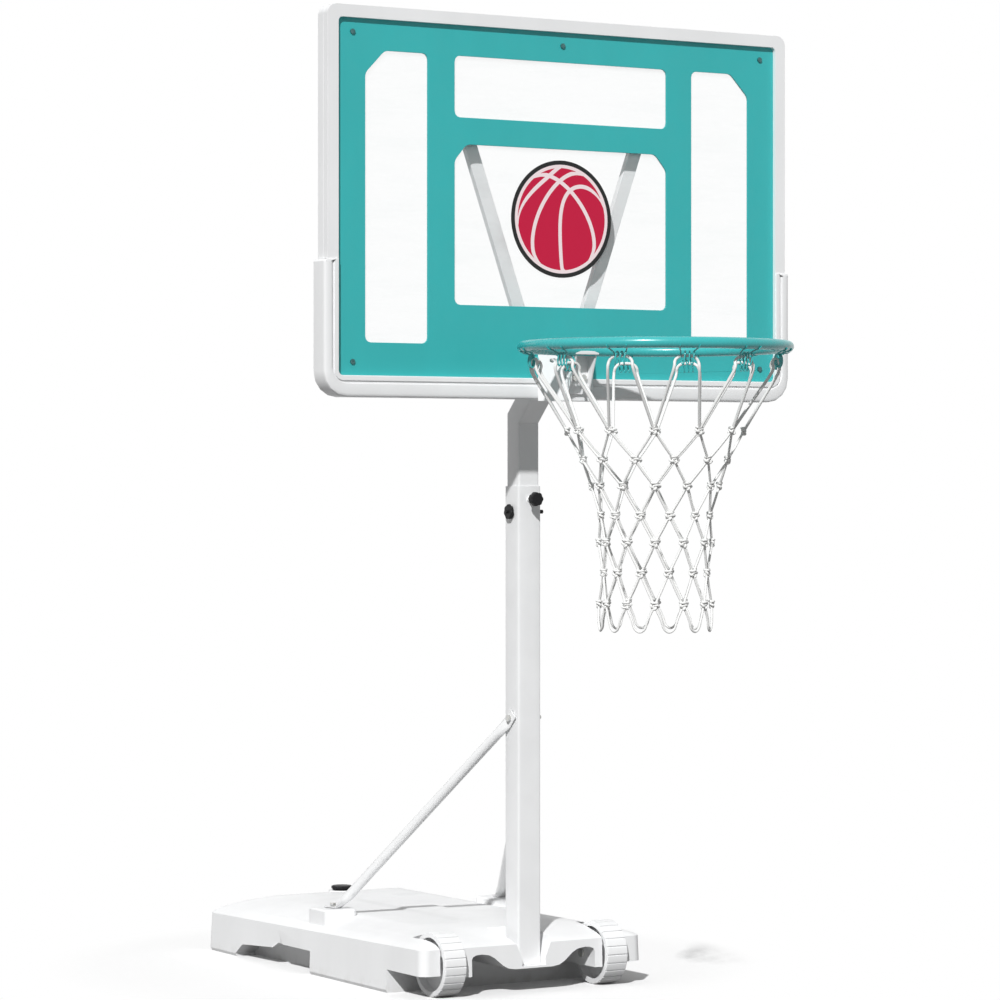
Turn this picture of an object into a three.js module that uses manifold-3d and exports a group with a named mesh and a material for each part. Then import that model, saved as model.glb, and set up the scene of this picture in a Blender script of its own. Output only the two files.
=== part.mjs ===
// Poolside basketball hoop on a wheeled ballast tank, with a square pole set in height by a bolt.
// Millimetres, +Z up, +X to the right along the board, and the water on the -Y side.
// Places are counted from the pole's axis at floor level; the last lines move the whole so
// that its origin is the middle of the tank's flat underside.
import * as THREE from "three";
import { mergeVertices } from "three/addons/utils/BufferGeometryUtils.js";
import Module from "manifold-3d";

// Clearances and overruns
const gap = 0.3;
const holeClearance = 0.4;
const overrun = 20;
const mergeReach = 0.0003;
const finestDetail = 0.02;
const cordDetail = 0.6;

// Board frame. Fronts and backs are counted forward from the pole's axis.
const boardFront = 149;
const openingHalfWidth = 471.6;
const openingLowZ = 1142;
const openingCorner = 8;
const lipDepth = 7.7;
const frameBorder = 22.5;
const frameCorner = 18;
const frameLowCorner = 37;
const panelCover = 8;
const frameBack = 112;
const rearFrameBorder = 60;
const rearFrameCorner = 12;

// Lattice panel, clear sheet and round print
const latticeThick = 4;
const sheetThick = 3;
const printThick = 0.8;
const printRadiusShare = 0.371;
const printHeightShare = 0.56;
const outerWindowIn = 285;
const outerWindowOut = 413.5;
const outerWindowLowZ = 1201.5;
const outerChamferWide = 40;
const outerChamferTall = 42;
const centreWindowHalf = 229;
const lowerWindowLowZ = 1273;
const lowerWindowTall = 291;
const windowBarTall = 48.6;
const upperWindowTall = 111.4;
const topBorderTall = 55;
const centreChamferWide = 25;
const centreChamferTall = 30;
const windowCorner = 11;
const chamferCorner = 18;

// Panel screws
const panelScrewSide = 31.6;
const panelScrewEnd = 24.5;
const panelScrewHead = 5;
const panelScrewHeadTall = 2.6;
const panelScrewShank = 2.4;
const panelScrewLong = 24;

// Bumper round the lower half of the frame
const bumperWall = 8;
const bumperFlange = 18.5;
const bumperProud = 3;
const bumperTopZ = 1349;
const bumperRound = 2.5;
const bumperCorner = 6;

// V arms, their screws and the head bracket
const armWide = 25;
const armThick = 12;
const armWall = 1.5;
const armFootLong = 9;
const armLowX = 33;
const armLowZ = 1151;
const armHighX = 186;
const armPlateWide = 44;
const armPlateTall = 36;
const armPlateThick = 4;
const armPlateCorner = 8;
const armScrewRadius = 3;
const armScrewLong = 39;
const armBossRadius = 9;
const headPlateHalf = 62;
const headPlateThick = 4;
const headLowZ = 1128;
const headHighZ = 1230;
const headCorner = 6;
const cheekThick = 4;
const cheekDepth = 44;
const headBoltRadius = 4;
const headBoltLowZ = 1178;
const headBoltHighZ = 1204;

// Poles
const lowerPoleWide = 50;
const lowerPoleTopZ = 944;
const lowerPoleFootZ = 50;
const upperPoleWide = 45;
const poleWall = 2;
const poleCorner = 5;
const poleBendZ = 1071;
const poleBendAngle = Math.PI / 3.9;
const poleTopZ = 1228;
const upperPoleEnd = 30;
const heightStep = 50;
const heightSteps = 6;
const capTall = 4;
const capPlug = 14;
const capWall = 2;

// Lock bolt through both poles, and the clamp screw in front
const lockZ = 896;
const lockRadius = 4;
const lockRightX = 43;
const lockKnobRadius = 14.5;
const lockKnobIn = 27;
const lockKnobThick = 7;
const lockNubRadius = 3.2;
const lockNubLong = 4;
const clampZ = 920;
const clampRadius = 4;
const clampKnobRadius = 13.5;
const clampKnobIn = 41;
const clampKnobThick = 13;
const knobBevel = 1.5;
const knobLobes = 7;
const knobLobeShare = 0.06;
const knobNeckShare = 0.55;
const boltInKnobShare = 0.6;
const weldNutTall = 6;

// Struts and bolts
const strutRadius = 9.5;
const strutTabThick = 4;
const strutTabHalf = 13;
const strutTopZ = 510;
const strutFootX = 188;
const strutFootY = 402;
const strutTabLong = 28;
const strutTaperLong = 34;
const strutBoltRadius = 4;
const footScrewDeep = 24;
const boltHeadTall = 5;
const boltHeadShare = 1.65;
const boltTail = 4;

// Tank
const tankHalf = 242;
const tankFront = 42;
const tankBack = 841;
const tankCorner = 18;
const tankFootRound = 6;
const creaseBackZ = 76;
const creaseFrontZ = 92;
const crownZ = 118;
const shoulderReach = 140;
const shoulderInsetShares = [0.02, 0.065, 0.16, 0.34, 0.66, 1];
const shoulderRiseShares = [0, 0.16, 0.34, 0.58, 0.86, 1];
const lipHalf = 40;
const lipZ = 46;
const archBackY = 92;
const archPeakX = 112;
const archPeakZ = 78;
const bossX = 134;
const bossTopZ = 69;
const bossZ = 38;
const blockZ = 44;
const archBendShare = 0.5;
const socketTopZ = 64;
const notchTopFlare = 24;
const notchBackFlare = 30;
const padHalfWide = 32;
const padLong = 74;
const padTall = 7;
const padCorner = 12;
const padDraft = 3;
const recessInX = 44;
const recessOutX = 140;
const recessFrontY = 150;
const recessBackY = 600;
const recessDeep = 4;
const recessCorner = 30;
const recessDraft = 8;
const gripFrontY = 397;
const gripStepFrontY = 540;
const gripStepBackY = 556;
const gripTailY = 685;
const gripBackY = 715;
const gripHighZ = 45;
const gripLowZ = 35;
const gripTailZ = 27;
const gripBackZ = 6;
const gripDeep = 46;
const gripStepRound = 3;
const gripTailRound = 20;
const grooveY = 533;
const grooveHalf = 30;
const grooveTopZ = 79;
const grooveDeep = 8;
const grooveTopShare = 0.15;

// Filler neck, gasket and cap
const fillerY = 714;
const neckRadius = 27;
const neckTall = 1.5;
const neckRoot = 12;
const wellRadius = 15;
const wellDeep = 26;
const gasketThick = 1.6;
const gasketRadius = 19;
const capRadius = 21.5;
const capLidTall = 7;
const capPlugRadius = 14;
const capPlugWall = 3;
const capPlugLong = 16;
const capLobes = 12;
const capLobeShare = 0.03;

// Wheels and stub axles
const wheelRadius = 60;
const wheelWide = 45;
const wheelX = 176;
const wheelY = 4.5;
const wheelGrooves = 24;
const wheelGrooveWide = 3;
const wheelGrooveDeep = 2;
const wheelBevel = 1.5;
const wheelDish = 7;
const wheelTyre = 10;
const wheelHub = 14;
const wheelHubDish = 2;
const axleRadius = 5;
const slotGap = 3;
const slotRound = 14;
const axleBite = 16;
const axleHeadRadius = 8;
const axleHeadTall = 4;

// Pole foot bolt
const footBoltZ = 72;
const footBoltRadius = 4;
const footPocketRadius = 10;
const footPocketIn = 36;
const footPocketOut = 56;

// Rim and its bracket
const rimZ = 1191;
const rimRadius = 235;
const rimTube = 9.75;
const rimY = 453;
const bracketSide = 18.9;
const bracketFrontHalf = 27;
const bracketFront = 192;
const bracketHighZ = 1187;
const bracketLowZ = 1100;
const bracketWall = 4;
const bracketBoltHighZ = 1174;
const bracketBoltRadius = 4;
const rimPlateThick = 5;
const rimPlateHalf = 25;
const rimPlateLowZ = 1112;
const rimTongueZ = 1184;
const rimTongueLong = 36;
const gussetX = 19;
const gussetThick = 4;
const rimBoltRadius = 4;
const rimBoltX = 9;
const rimBoltZ = 1142;

// Net hooks and net
const hookCount = 12;
const hookSpread = 13;
const hookBend = 5;
const hookWire = 1.6;
const hookRadius = 224;
const hookZ = 1168.5;
const hookTwist = Math.PI / 45;
const hookTurns = 3;
const cordRadius = 2.5;
const cordDrop = 0.6;
const topLoopHalf = 17;
const topLoopShoulder = 5;
const netRowZ = [1042, 991, 945, 893, 845, 791.5, 736];
const netRowRadius = [156, 132, 113, 99.5, 100, 94.5, 99.5];
const netEndZ = 690;
const netEndRadius = 99.5;
const netEndHalf = 12;
const netEndRise = 14;

// Facets on round forms
const shankSides = 8;
const coarse = 10;
const medium = 16;
const fine = 28;
const printFacets = 36;
const rimFacets = 48;
const rimSides = 8;
const cordSides = 4;
const windowSteps = 3;

const halfTurn = Math.PI;
const quarterTurn = Math.PI / 2;
const fullTurn = 2 * Math.PI;

const wasm = await Module();
wasm.setup();

// Solids and booleans

function solidOf(geometry) {
  const bare = geometry.clone();
  bare.deleteAttribute("normal");
  bare.deleteAttribute("uv");
  const merged = mergeVertices(bare, mergeReach);
  return new wasm.Manifold(
    new wasm.Mesh({
      numProp: 3,
      vertProperties: merged.attributes.position.array,
      triVerts: new Uint32Array(merged.index.array),
    }),
  );
}

function geometryOf(solid, sliverSize = finestDetail) {
  const mesh = solid.simplify(sliverSize).getMesh();
  const geometry = new THREE.BufferGeometry();
  geometry.setAttribute("position", new THREE.BufferAttribute(mesh.vertProperties, 3));
  geometry.setIndex(new THREE.BufferAttribute(mesh.triVerts, 1));
  geometry.computeVertexNormals();
  return geometry;
}

function joined(...geometries) {
  return geometryOf(geometries.map(solidOf).reduce((whole, part) => whole.add(part)));
}

function cut(geometry, ...tools) {
  const left = tools.map(solidOf).reduce((body, tool) => body.subtract(tool), solidOf(geometry));
  return geometryOf(left);
}

function common(geometry, other) {
  return geometryOf(solidOf(geometry).intersect(solidOf(other)));
}

// The same shape on the other side of the middle, with its faces turned back outward.
function mirrored(geometry) {
  const other = geometry.clone().scale(-1, 1, 1);
  const index = other.index.array;
  for (let i = 0; i < index.length; i += 3) [index[i], index[i + 1]] = [index[i + 1], index[i]];
  return other;
}

// Outlines

// Points round a closed outline given by corners [x, y, radius], each corner a true arc.
function filletPoints(corners, steps = 4) {
  return corners.flatMap(([x, y, radius], i) => {
    const here = new THREE.Vector2(x, y);
    if (!radius) return [here];
    const back = new THREE.Vector2(...corners.at(i - 1).slice(0, 2)).sub(here).normalize();
    const ahead = new THREE.Vector2(...corners[(i + 1) % corners.length].slice(0, 2)).sub(here).normalize();
    const half = Math.acos(THREE.MathUtils.clamp(back.dot(ahead), -1, 1)) / 2;
    const turn = Math.sign(ahead.cross(back)) * (halfTurn - 2 * half);
    const centre = back.clone().add(ahead).setLength(radius / Math.sin(half)).add(here);
    const start = back.multiplyScalar(radius / Math.tan(half)).add(here).sub(centre);
    return Array.from({ length: steps + 1 }, (_, k) =>
      start.clone().rotateAround(new THREE.Vector2(), (turn * k) / steps).add(centre),
    );
  });
}

function filleted(corners, steps) {
  return new THREE.Shape(filletPoints(corners, steps));
}

// The low corners take the first radius and the high corners the second.
function rectanglePoints(lowX, lowY, highX, highY, radius, highRadius = radius, steps = 4) {
  const low = [
    [lowX, lowY, radius],
    [highX, lowY, radius],
  ];
  const high = [
    [highX, highY, highRadius],
    [lowX, highY, highRadius],
  ];
  return filletPoints([...low, ...high], steps);
}

function rectangle(...sizes) {
  return new THREE.Shape(rectanglePoints(...sizes));
}

// An outline whose radius follows a formula of the angle.
function polar(radiusAt, count, x = 0, y = 0) {
  const points = Array.from({ length: count }, (_, i) => {
    const angle = (fullTurn * i) / count;
    const reach = radiusAt(angle);
    return new THREE.Vector2(x + reach * Math.cos(angle), y + reach * Math.sin(angle));
  });
  return new THREE.Shape(points);
}

function disc(radius, x, y, count = fine) {
  return polar(() => radius, count, x, y);
}

function lobed(radius, lobes, share, pointsPerLobe = 5) {
  return polar((angle) => radius * (1 - share + share * Math.cos(lobes * angle)), lobes * pointsPerLobe);
}

// Extrusions: upward along Z, forward to the water, and across from left to right

function upward(shape, lowZ, highZ) {
  const options = { depth: highZ - lowZ, bevelEnabled: false };
  return new THREE.ExtrudeGeometry(shape, options).translate(0, 0, lowZ);
}

function forward(shape, back, front) {
  return upward(shape, 0, front - back).rotateX(quarterTurn).translate(0, -back, 0);
}

const acrossX = new THREE.Matrix4().makeBasis(at(0, 1, 0), at(0, 0, 1), at(1, 0, 0));

function across(shape, fromX, toX) {
  return upward(shape, Math.min(fromX, toX), Math.max(fromX, toX)).applyMatrix4(acrossX);
}

function at(x, y, z) {
  return new THREE.Vector3(x, y, z);
}

// A solid through closed loops of equal point counts, capped flat at both ends.
function loft(loops) {
  const count = loops[0].length;
  const middle = (loop) => loop.reduce((sum, point) => sum.add(point), at(0, 0, 0)).divideScalar(count);
  const points = [...loops.flat(), middle(loops[0]), middle(loops.at(-1))];
  const lowMiddle = points.length - 2;
  const highMiddle = points.length - 1;
  const lastRow = (loops.length - 1) * count;
  const faces = [];
  for (let i = 0; i < count; i++) {
    const next = (i + 1) % count;
    faces.push(lowMiddle, next, i, highMiddle, lastRow + i, lastRow + next);
    for (let row = 0; row < lastRow; row += count) {
      faces.push(row + i, row + next, row + count + next);
      faces.push(row + i, row + count + next, row + count + i);
    }
  }
  const geometry = new THREE.BufferGeometry().setFromPoints(points);
  geometry.setIndex(faces);
  return geometry;
}

// A loop round a centre, spanned by two half-axes.
function ellipseLoop(centre, wide, thin, sides) {
  return Array.from({ length: sides }, (_, i) => {
    const angle = (fullTurn * (i + 0.5)) / sides;
    return centre.clone().addScaledVector(wide, Math.cos(angle)).addScaledVector(thin, Math.sin(angle));
  });
}

// A wire or cord through points, its section turned with the least twist.
function wire(points, radius, sides) {
  const along = points.map((_, i) => {
    const before = points[Math.max(i - 1, 0)];
    const after = points[Math.min(i + 1, points.length - 1)];
    return after.clone().sub(before).normalize();
  });
  const steep = Math.abs(along[0].z) > Math.SQRT1_2;
  const normal = (steep ? at(1, 0, 0) : at(0, 0, 1)).cross(along[0]).normalize();
  const loops = points.map((point, i) => {
    normal.addScaledVector(along[i], -normal.dot(along[i])).normalize();
    const binormal = along[i].clone().cross(normal).multiplyScalar(radius);
    return ellipseLoop(point, normal.clone().multiplyScalar(radius), binormal, sides);
  });
  return loft(loops);
}

function rod(radius, from, to, sides = shankSides) {
  return wire([from, to], radius, sides);
}

function post(radius, x, y, lowZ, highZ, sides = medium) {
  return rod(radius, at(x, y, lowZ), at(x, y, highZ), sides);
}

// A hexagon bolt: its head lies behind the start and its shank runs to the end.
function bolt(radius, start, end) {
  const back = start.clone().sub(end).setLength(boltHeadTall);
  const head = rod(radius * boltHeadShare, start.clone().add(back), start, 6);
  return joined(head, rod(radius, start.clone().addScaledVector(back, 1 / 2), end));
}

function nut(radius, start, end) {
  const past = end.clone().sub(start).setLength(overrun);
  const hole = rod(radius + gap, start.clone().sub(past), end.clone().add(past));
  return cut(rod(radius * boltHeadShare, start, end, 6), hole);
}

// Finishes

function finish(color, roughness, metalness) {
  return new THREE.MeshStandardMaterial({ color, roughness, metalness });
}

const whitePlastic = finish(0xf0f0f0, 0.55, 0);
const whitePaint = finish(0xf2f2f2, 0.35, 0.1);
const tealPlastic = finish(0x3ab3b4, 0.45, 0);
const tealPaint = finish(0x2fb0b1, 0.3, 0.1);
const blackPlastic = finish(0x232323, 0.5, 0);
const zinc = finish(0xb9bcbe, 0.35, 0.9);
const clearPlastic = finish(0xe9f3f4, 0.1, 0);
const redPrint = finish(0xc82446, 0.5, 0);
const cordWhite = finish(0xf4f4f2, 0.9, 0);

const hoop = new THREE.Group();

function add(name, geometry, material) {
  const mesh = new THREE.Mesh(geometry, material);
  mesh.name = name;
  hoop.add(mesh);
}

const sides = { left: -1, right: 1 };

function addPair(name, material, make) {
  for (const [side, sign] of Object.entries(sides)) add(`${name}_${side}`, make(sign), material);
}

// Planes in the board, from front to back
const latticeFront = boardFront - lipDepth - gap;
const latticeBack = latticeFront - latticeThick;
const latticeMiddle = latticeFront - latticeThick / 2;
const sheetFront = latticeBack - gap;
const sheetBack = sheetFront - sheetThick;
const rearFrameFront = sheetBack - gap;
const armFront = frameBack - gap;
const armBack = armFront - armThick;
const headFront = armBack - gap;
const headBack = headFront - headPlateThick;
const poleOffset = headBack - gap - upperPoleWide / 2;
const bracketBack = boardFront + bumperProud + gap;

// Heights in the board, counted up from the lower window
const lowerWindowHighZ = lowerWindowLowZ + lowerWindowTall;
const upperWindowLowZ = lowerWindowHighZ + windowBarTall;
const windowHighZ = upperWindowLowZ + upperWindowTall;
const openingHighZ = windowHighZ + topBorderTall;
const armHighZ = lowerWindowHighZ + windowBarTall / 2;

const frameHalf = openingHalfWidth + frameBorder;
const frameLowZ = openingLowZ - frameBorder;
const frameHighZ = openingHighZ + frameBorder;

function frameOutline(grow) {
  return rectangle(
    -frameHalf - grow,
    frameLowZ - grow,
    frameHalf + grow,
    frameHighZ + grow,
    frameLowCorner + grow,
    frameCorner + grow,
  );
}

function openingOutline(grow, corner) {
  const half = openingHalfWidth + grow;
  return rectangle(-half, openingLowZ - grow, half, openingHighZ + grow, corner);
}

// Places of the screws and bolts in the board
const panelScrewX = openingHalfWidth - panelScrewSide;
const panelScrewLowZ = openingLowZ + panelScrewEnd;
const panelScrewHighZ = openingHighZ - panelScrewEnd;
const panelScrews = {
  low_left: [-panelScrewX, panelScrewLowZ],
  low_right: [panelScrewX, panelScrewLowZ],
  high_left: [-panelScrewX, panelScrewHighZ],
  high_middle: [0, panelScrewHighZ],
  high_right: [panelScrewX, panelScrewHighZ],
};
const armLean = (armHighX - armLowX) / (armHighZ - armLowZ);
const bracketBoltHighX = armLowX + (bracketBoltHighZ - armLowZ) * armLean;
const bracketHalf = bracketBoltHighX + bracketSide;
const bracketBolts = {
  high_left: [-bracketBoltHighX, bracketBoltHighZ],
  high_right: [bracketBoltHighX, bracketBoltHighZ],
  low_left: [-armLowX, armLowZ],
  low_right: [armLowX, armLowZ],
};
const armScrews = [
  [-armHighX, armHighZ],
  [armHighX, armHighZ],
];

// Holes straight through the board, a little wider than what passes
function boardHoles(radius, places) {
  return Object.values(places).map(([x, z]) =>
    rod(radius + holeClearance, at(x, 0, z), at(x, -boardFront - bracketFront, z)),
  );
}

const panelScrewHoles = () => boardHoles(panelScrewShank, panelScrews);
const bracketBoltHoles = () => boardHoles(bracketBoltRadius, bracketBolts);
const armScrewHoles = () => boardHoles(armScrewRadius, armScrews);

// Front frame: the lip and side wall that hold the panels
function frontFrame() {
  const ring = forward(frameOutline(0), rearFrameFront + gap, boardFront);
  const window = forward(openingOutline(0, openingCorner), 0, boardFront + overrun);
  const pocket = forward(openingOutline(panelCover + gap, openingCorner), 0, latticeFront + gap);
  return cut(ring, window, pocket);
}

// Rear frame: the wider flange behind the panels that the panel screws bite into
function rearFrame() {
  const ring = forward(frameOutline(0), frameBack, rearFrameFront);
  const inside = forward(openingOutline(frameBorder - rearFrameBorder, rearFrameCorner), 0, boardFront);
  return cut(ring, inside, ...panelScrewHoles(), ...bracketBoltHoles());
}

// Bumper: a C-shaped strip that clips round the lower half of the frame
function bumper() {
  const outHalf = frameHalf + bumperWall;
  const inHalf = frameHalf - bumperFlange;
  const lowZ = frameLowZ - bumperWall * 2;
  const band = filleted([
    [-outHalf, bumperTopZ, bumperCorner],
    [-outHalf, lowZ, frameLowCorner + bumperWall],
    [outHalf, lowZ, frameLowCorner + bumperWall],
    [outHalf, bumperTopZ, bumperCorner],
    [inHalf, bumperTopZ, bumperCorner],
    [inHalf, frameLowZ + bumperFlange, frameLowCorner - bumperFlange],
    [-inHalf, frameLowZ + bumperFlange, frameLowCorner - bumperFlange],
    [-inHalf, bumperTopZ, bumperCorner],
  ]);
  const strip = new THREE.ExtrudeGeometry(band, {
    depth: boardFront - frameBack + 2 * (bumperProud - bumperRound),
    bevelThickness: bumperRound,
    bevelSize: bumperRound,
    bevelOffset: -bumperRound,
    bevelSegments: 2,
  });
  strip.rotateX(quarterTurn).translate(0, -frameBack + bumperProud - bumperRound, 0);
  return cut(strip, forward(frameOutline(gap), frameBack - gap, boardFront + gap));
}

// Low bosses on the panel's back, flush with the sheet, that the arms' screws bite into
function armBosses(grow, back) {
  return armScrews.map(([x, z]) =>
    rod(armBossRadius + grow, at(x, -back, z), at(x, -latticeMiddle, z), medium),
  );
}

function armBossHoles() {
  const end = armBack + armScrewLong + gap;
  return armScrews.map(([x, z]) => rod(armScrewRadius + holeClearance, at(x, 0, z), at(x, -end, z)));
}

// Lattice panel: the coloured plate with its four windows
function latticePanel() {
  const plate = openingOutline(panelCover, openingCorner);
  for (const side of Object.values(sides)) {
    const outer = [
      [side * outerWindowIn, outerWindowLowZ, windowCorner],
      [side * outerWindowOut, outerWindowLowZ, windowCorner],
      [side * outerWindowOut, windowHighZ - outerChamferTall, chamferCorner],
      [side * (outerWindowOut - outerChamferWide), windowHighZ, chamferCorner],
      [side * outerWindowIn, windowHighZ, windowCorner],
    ];
    plate.holes.push(filleted(outer, windowSteps));
  }
  const half = centreWindowHalf;
  const round = windowCorner;
  const upperWindow = rectanglePoints(-half, upperWindowLowZ, half, windowHighZ, round, round, windowSteps);
  const lowerWindow = [
    [-half, lowerWindowLowZ, windowCorner],
    [half, lowerWindowLowZ, windowCorner],
    [half, lowerWindowHighZ - centreChamferTall, chamferCorner],
    [half - centreChamferWide, lowerWindowHighZ, chamferCorner],
    [-half + centreChamferWide, lowerWindowHighZ, chamferCorner],
    [-half, lowerWindowHighZ - centreChamferTall, chamferCorner],
  ];
  plate.holes.push(filleted(lowerWindow, windowSteps), new THREE.Path(upperWindow));
  const body = joined(forward(plate, latticeBack, latticeFront), ...armBosses(0, sheetBack));
  return cut(body, ...panelScrewHoles(), ...bracketBoltHoles(), ...armBossHoles());
}

function clearSheet() {
  const sheet = forward(openingOutline(panelCover, openingCorner), sheetBack, sheetFront);
  return cut(sheet, ...panelScrewHoles(), ...bracketBoltHoles(), ...armBosses(holeClearance, 0));
}

// Round print on the clear sheet, inside the lower middle window
function ballPrint() {
  const middleZ = lowerWindowLowZ + printHeightShare * lowerWindowTall;
  const round = disc(printRadiusShare * lowerWindowTall, 0, middleZ, printFacets);
  return forward(round, sheetFront + gap, sheetFront + gap + printThick);
}

function panelScrew([x, z]) {
  const seat = latticeFront + gap;
  const middle = seat + panelScrewHeadTall / 2;
  const head = rod(panelScrewHead, at(x, -seat, z), at(x, -seat - panelScrewHeadTall, z));
  return joined(head, rod(panelScrewShank, at(x, -middle, z), at(x, -seat + panelScrewLong, z)));
}

// V arms: flat tubes behind the board, each with a plate and a spacer that meets a boss
function arm(side) {
  const low = new THREE.Vector2(armLowX, armLowZ);
  const high = new THREE.Vector2(armHighX, armHighZ);
  const along = high.clone().sub(low).normalize();
  const off = new THREE.Vector2(along.y, -along.x).multiplyScalar(armWide / 2);
  const strip = (share, extra) => {
    const foot = low.clone().addScaledVector(along, -armFootLong - extra);
    const top = high.clone().addScaledVector(along, armWide / 2 + extra);
    const half = off.clone().multiplyScalar(share);
    const corner = (end, way) => end.clone().addScaledVector(half, way);
    return new THREE.Shape([corner(foot, -1), corner(foot, 1), corner(top, 1), corner(top, -1)]);
  };
  const hollow = forward(strip(1 - (2 * armWall) / armWide, overrun), armBack + armWall, armFront - armWall);
  const plate = rectangle(
    armHighX - armPlateWide / 2,
    armHighZ - armPlateTall / 2,
    armHighX + armPlateWide / 2,
    armHighZ + armPlateTall / 2,
    armPlateCorner,
  );
  const bar = forward(strip(1, 0), armBack, armFront);
  const seat = armFront - armPlateThick / 2;
  const ends = [seat, rearFrameFront].map((depth) => at(armHighX, -depth, armHighZ));
  const spacer = rod(armBossRadius, ...ends, medium);
  const whole = joined(bar, forward(plate, armFront - armPlateThick, armFront), spacer);
  const made = cut(whole, hollow, ...bracketBoltHoles(), ...armScrewHoles());
  return side > 0 ? made : mirrored(made);
}

function armScrew(side) {
  const x = side * armHighX;
  return bolt(armScrewRadius, at(x, -armBack + gap, armHighZ), at(x, -armBack - armScrewLong, armHighZ));
}

// Cross holes and cross bolts through a pole, along X
function crossHole(radius, y, z) {
  return rod(radius + holeClearance, at(-lowerPoleWide, y, z), at(lowerPoleWide, y, z));
}

function crossBolt(radius, y, z, reach) {
  return bolt(radius, at(-reach - gap, y, z), at(reach + gap + boltHeadTall + boltTail, y, z));
}

function crossNut(radius, y, z, reach) {
  return nut(radius, at(reach + gap, y, z), at(reach + gap + boltHeadTall, y, z));
}

// Head bracket: a plate behind the arms' feet, with two cheeks that clasp the pole
const cheekIn = upperPoleWide / 2 + gap;
const cheekOut = cheekIn + cheekThick;
const headBolts = { low: headBoltLowZ, high: headBoltHighZ };

function headBracket() {
  const plate = rectangle(-headPlateHalf, headLowZ, headPlateHalf, headHighZ, headCorner);
  const cheekLowZ = armLowZ + bracketBoltRadius * boltHeadShare + headCorner;
  const cheek = filleted([
    [-headBack - headPlateThick / 2, cheekLowZ, 0],
    [-headBack, cheekLowZ, 0],
    [-headBack + cheekDepth, headBoltLowZ - headCorner * 2, headCorner],
    [-headBack + cheekDepth, headHighZ, headCorner],
    [-headBack - headPlateThick / 2, headHighZ, 0],
  ]);
  const cheeks = Object.values(sides).map((side) => across(cheek, side * cheekIn, side * cheekOut));
  const holes = Object.values(headBolts).map((z) => crossHole(headBoltRadius, -poleOffset, z));
  return cut(joined(forward(plate, headBack, headFront), ...cheeks), ...holes, ...bracketBoltHoles());
}

// Rim bracket: a tapered box of folded sheet in front of the board
function rimBracket() {
  const outline = (wall) => [
    [-bracketHalf + 2 * wall, -bracketBack - wall],
    [-bracketFrontHalf + wall, -bracketFront + wall],
    [bracketFrontHalf - wall, -bracketFront + wall],
    [bracketHalf - 2 * wall, -bracketBack - wall],
  ];
  const shape = new THREE.Shape(outline(0).map((point) => new THREE.Vector2(...point)));
  shape.holes.push(new THREE.Path(outline(bracketWall).map((point) => new THREE.Vector2(...point))));
  const box = upward(shape, bracketLowZ, bracketHighZ);
  return cut(box, ...bracketBoltHoles().map((hole) => common(hole, behindFront())), ...rimBoltHoles());
}

// Everything behind the bracket's front wall, so that the board bolts' holes stop there.
function behindFront() {
  const deep = bracketFront - bracketWall * 2;
  return forward(rectangle(-bracketHalf, bracketLowZ, bracketHalf, bracketHighZ, 0), 0, deep);
}

function rimBoltHoles() {
  return Object.values(sides).map((side) =>
    rod(
      rimBoltRadius + holeClearance,
      at(side * rimBoltX, -bracketFront + bracketWall + gap, rimBoltZ),
      at(side * rimBoltX, -bracketFront - overrun, rimBoltZ),
    ),
  );
}

function bracketBolt([x, z]) {
  const start = at(x, -bracketBack - bracketWall - gap, z);
  return bolt(bracketBoltRadius, start, at(x, -headBack + gap + boltHeadTall + boltTail, z));
}

function bracketNut([x, z]) {
  return nut(bracketBoltRadius, at(x, -headBack + gap, z), at(x, -headBack + gap + boltHeadTall, z));
}

// Rim: the ring, its back plate, tongue and gussets, and the net hooks, welded as one
const plateBack = bracketFront + gap;
const plateFront = plateBack + rimPlateThick;

function rim() {
  const ring = new THREE.TorusGeometry(rimRadius, rimTube, rimSides, rimFacets).translate(0, -rimY, rimZ);
  const plate = rectangle(-rimPlateHalf, rimPlateLowZ, rimPlateHalf, rimZ, headCorner);
  const tongue = rectangle(-rimPlateHalf, -plateBack - rimTongueLong, rimPlateHalf, -plateBack, 0);
  const gusset = new THREE.Shape([
    new THREE.Vector2(-plateBack - rimPlateThick / 2, rimPlateLowZ + headCorner),
    new THREE.Vector2(-plateBack - rimPlateThick / 2, rimZ),
    new THREE.Vector2(-plateBack - rimTongueLong + gussetThick, rimZ),
    new THREE.Vector2(-plateBack - rimTongueLong + gussetThick, rimTongueZ),
    new THREE.Vector2(-plateFront - gussetThick, rimPlateLowZ + headCorner),
  ]);
  const gussets = Object.values(sides).map((side) =>
    across(gusset, side * gussetX, side * (gussetX + gussetThick)),
  );
  const body = joined(
    ring,
    forward(plate, plateBack, plateFront),
    upward(tongue, rimTongueZ, rimZ),
    ...gussets,
    ...hookPlaces().flatMap(({ angle }) => Object.values(sides).map((side) => hook(angle, side))),
  );
  return cut(body, ...rimBoltHoles());
}

// Angles round the rim, counted in hook pitches from the gap that faces the water
function pitchAngle(pitches) {
  return -quarterTurn - hookTwist + (fullTurn / hookCount) * pitches;
}

// Middle angle of each pair of hooks
function hookPlaces() {
  return Array.from({ length: hookCount }, (_, k) => ({ k, angle: pitchAngle(k + 1 / 2) }));
}

// A point by its angle and distance from the rim's axis, moved sideways and set at a height.
function ringPoint(angle, reach, aside, z) {
  return at(
    reach * Math.cos(angle) - aside * Math.sin(angle),
    reach * Math.sin(angle) + aside * Math.cos(angle) - rimY,
    z,
  );
}

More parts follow.
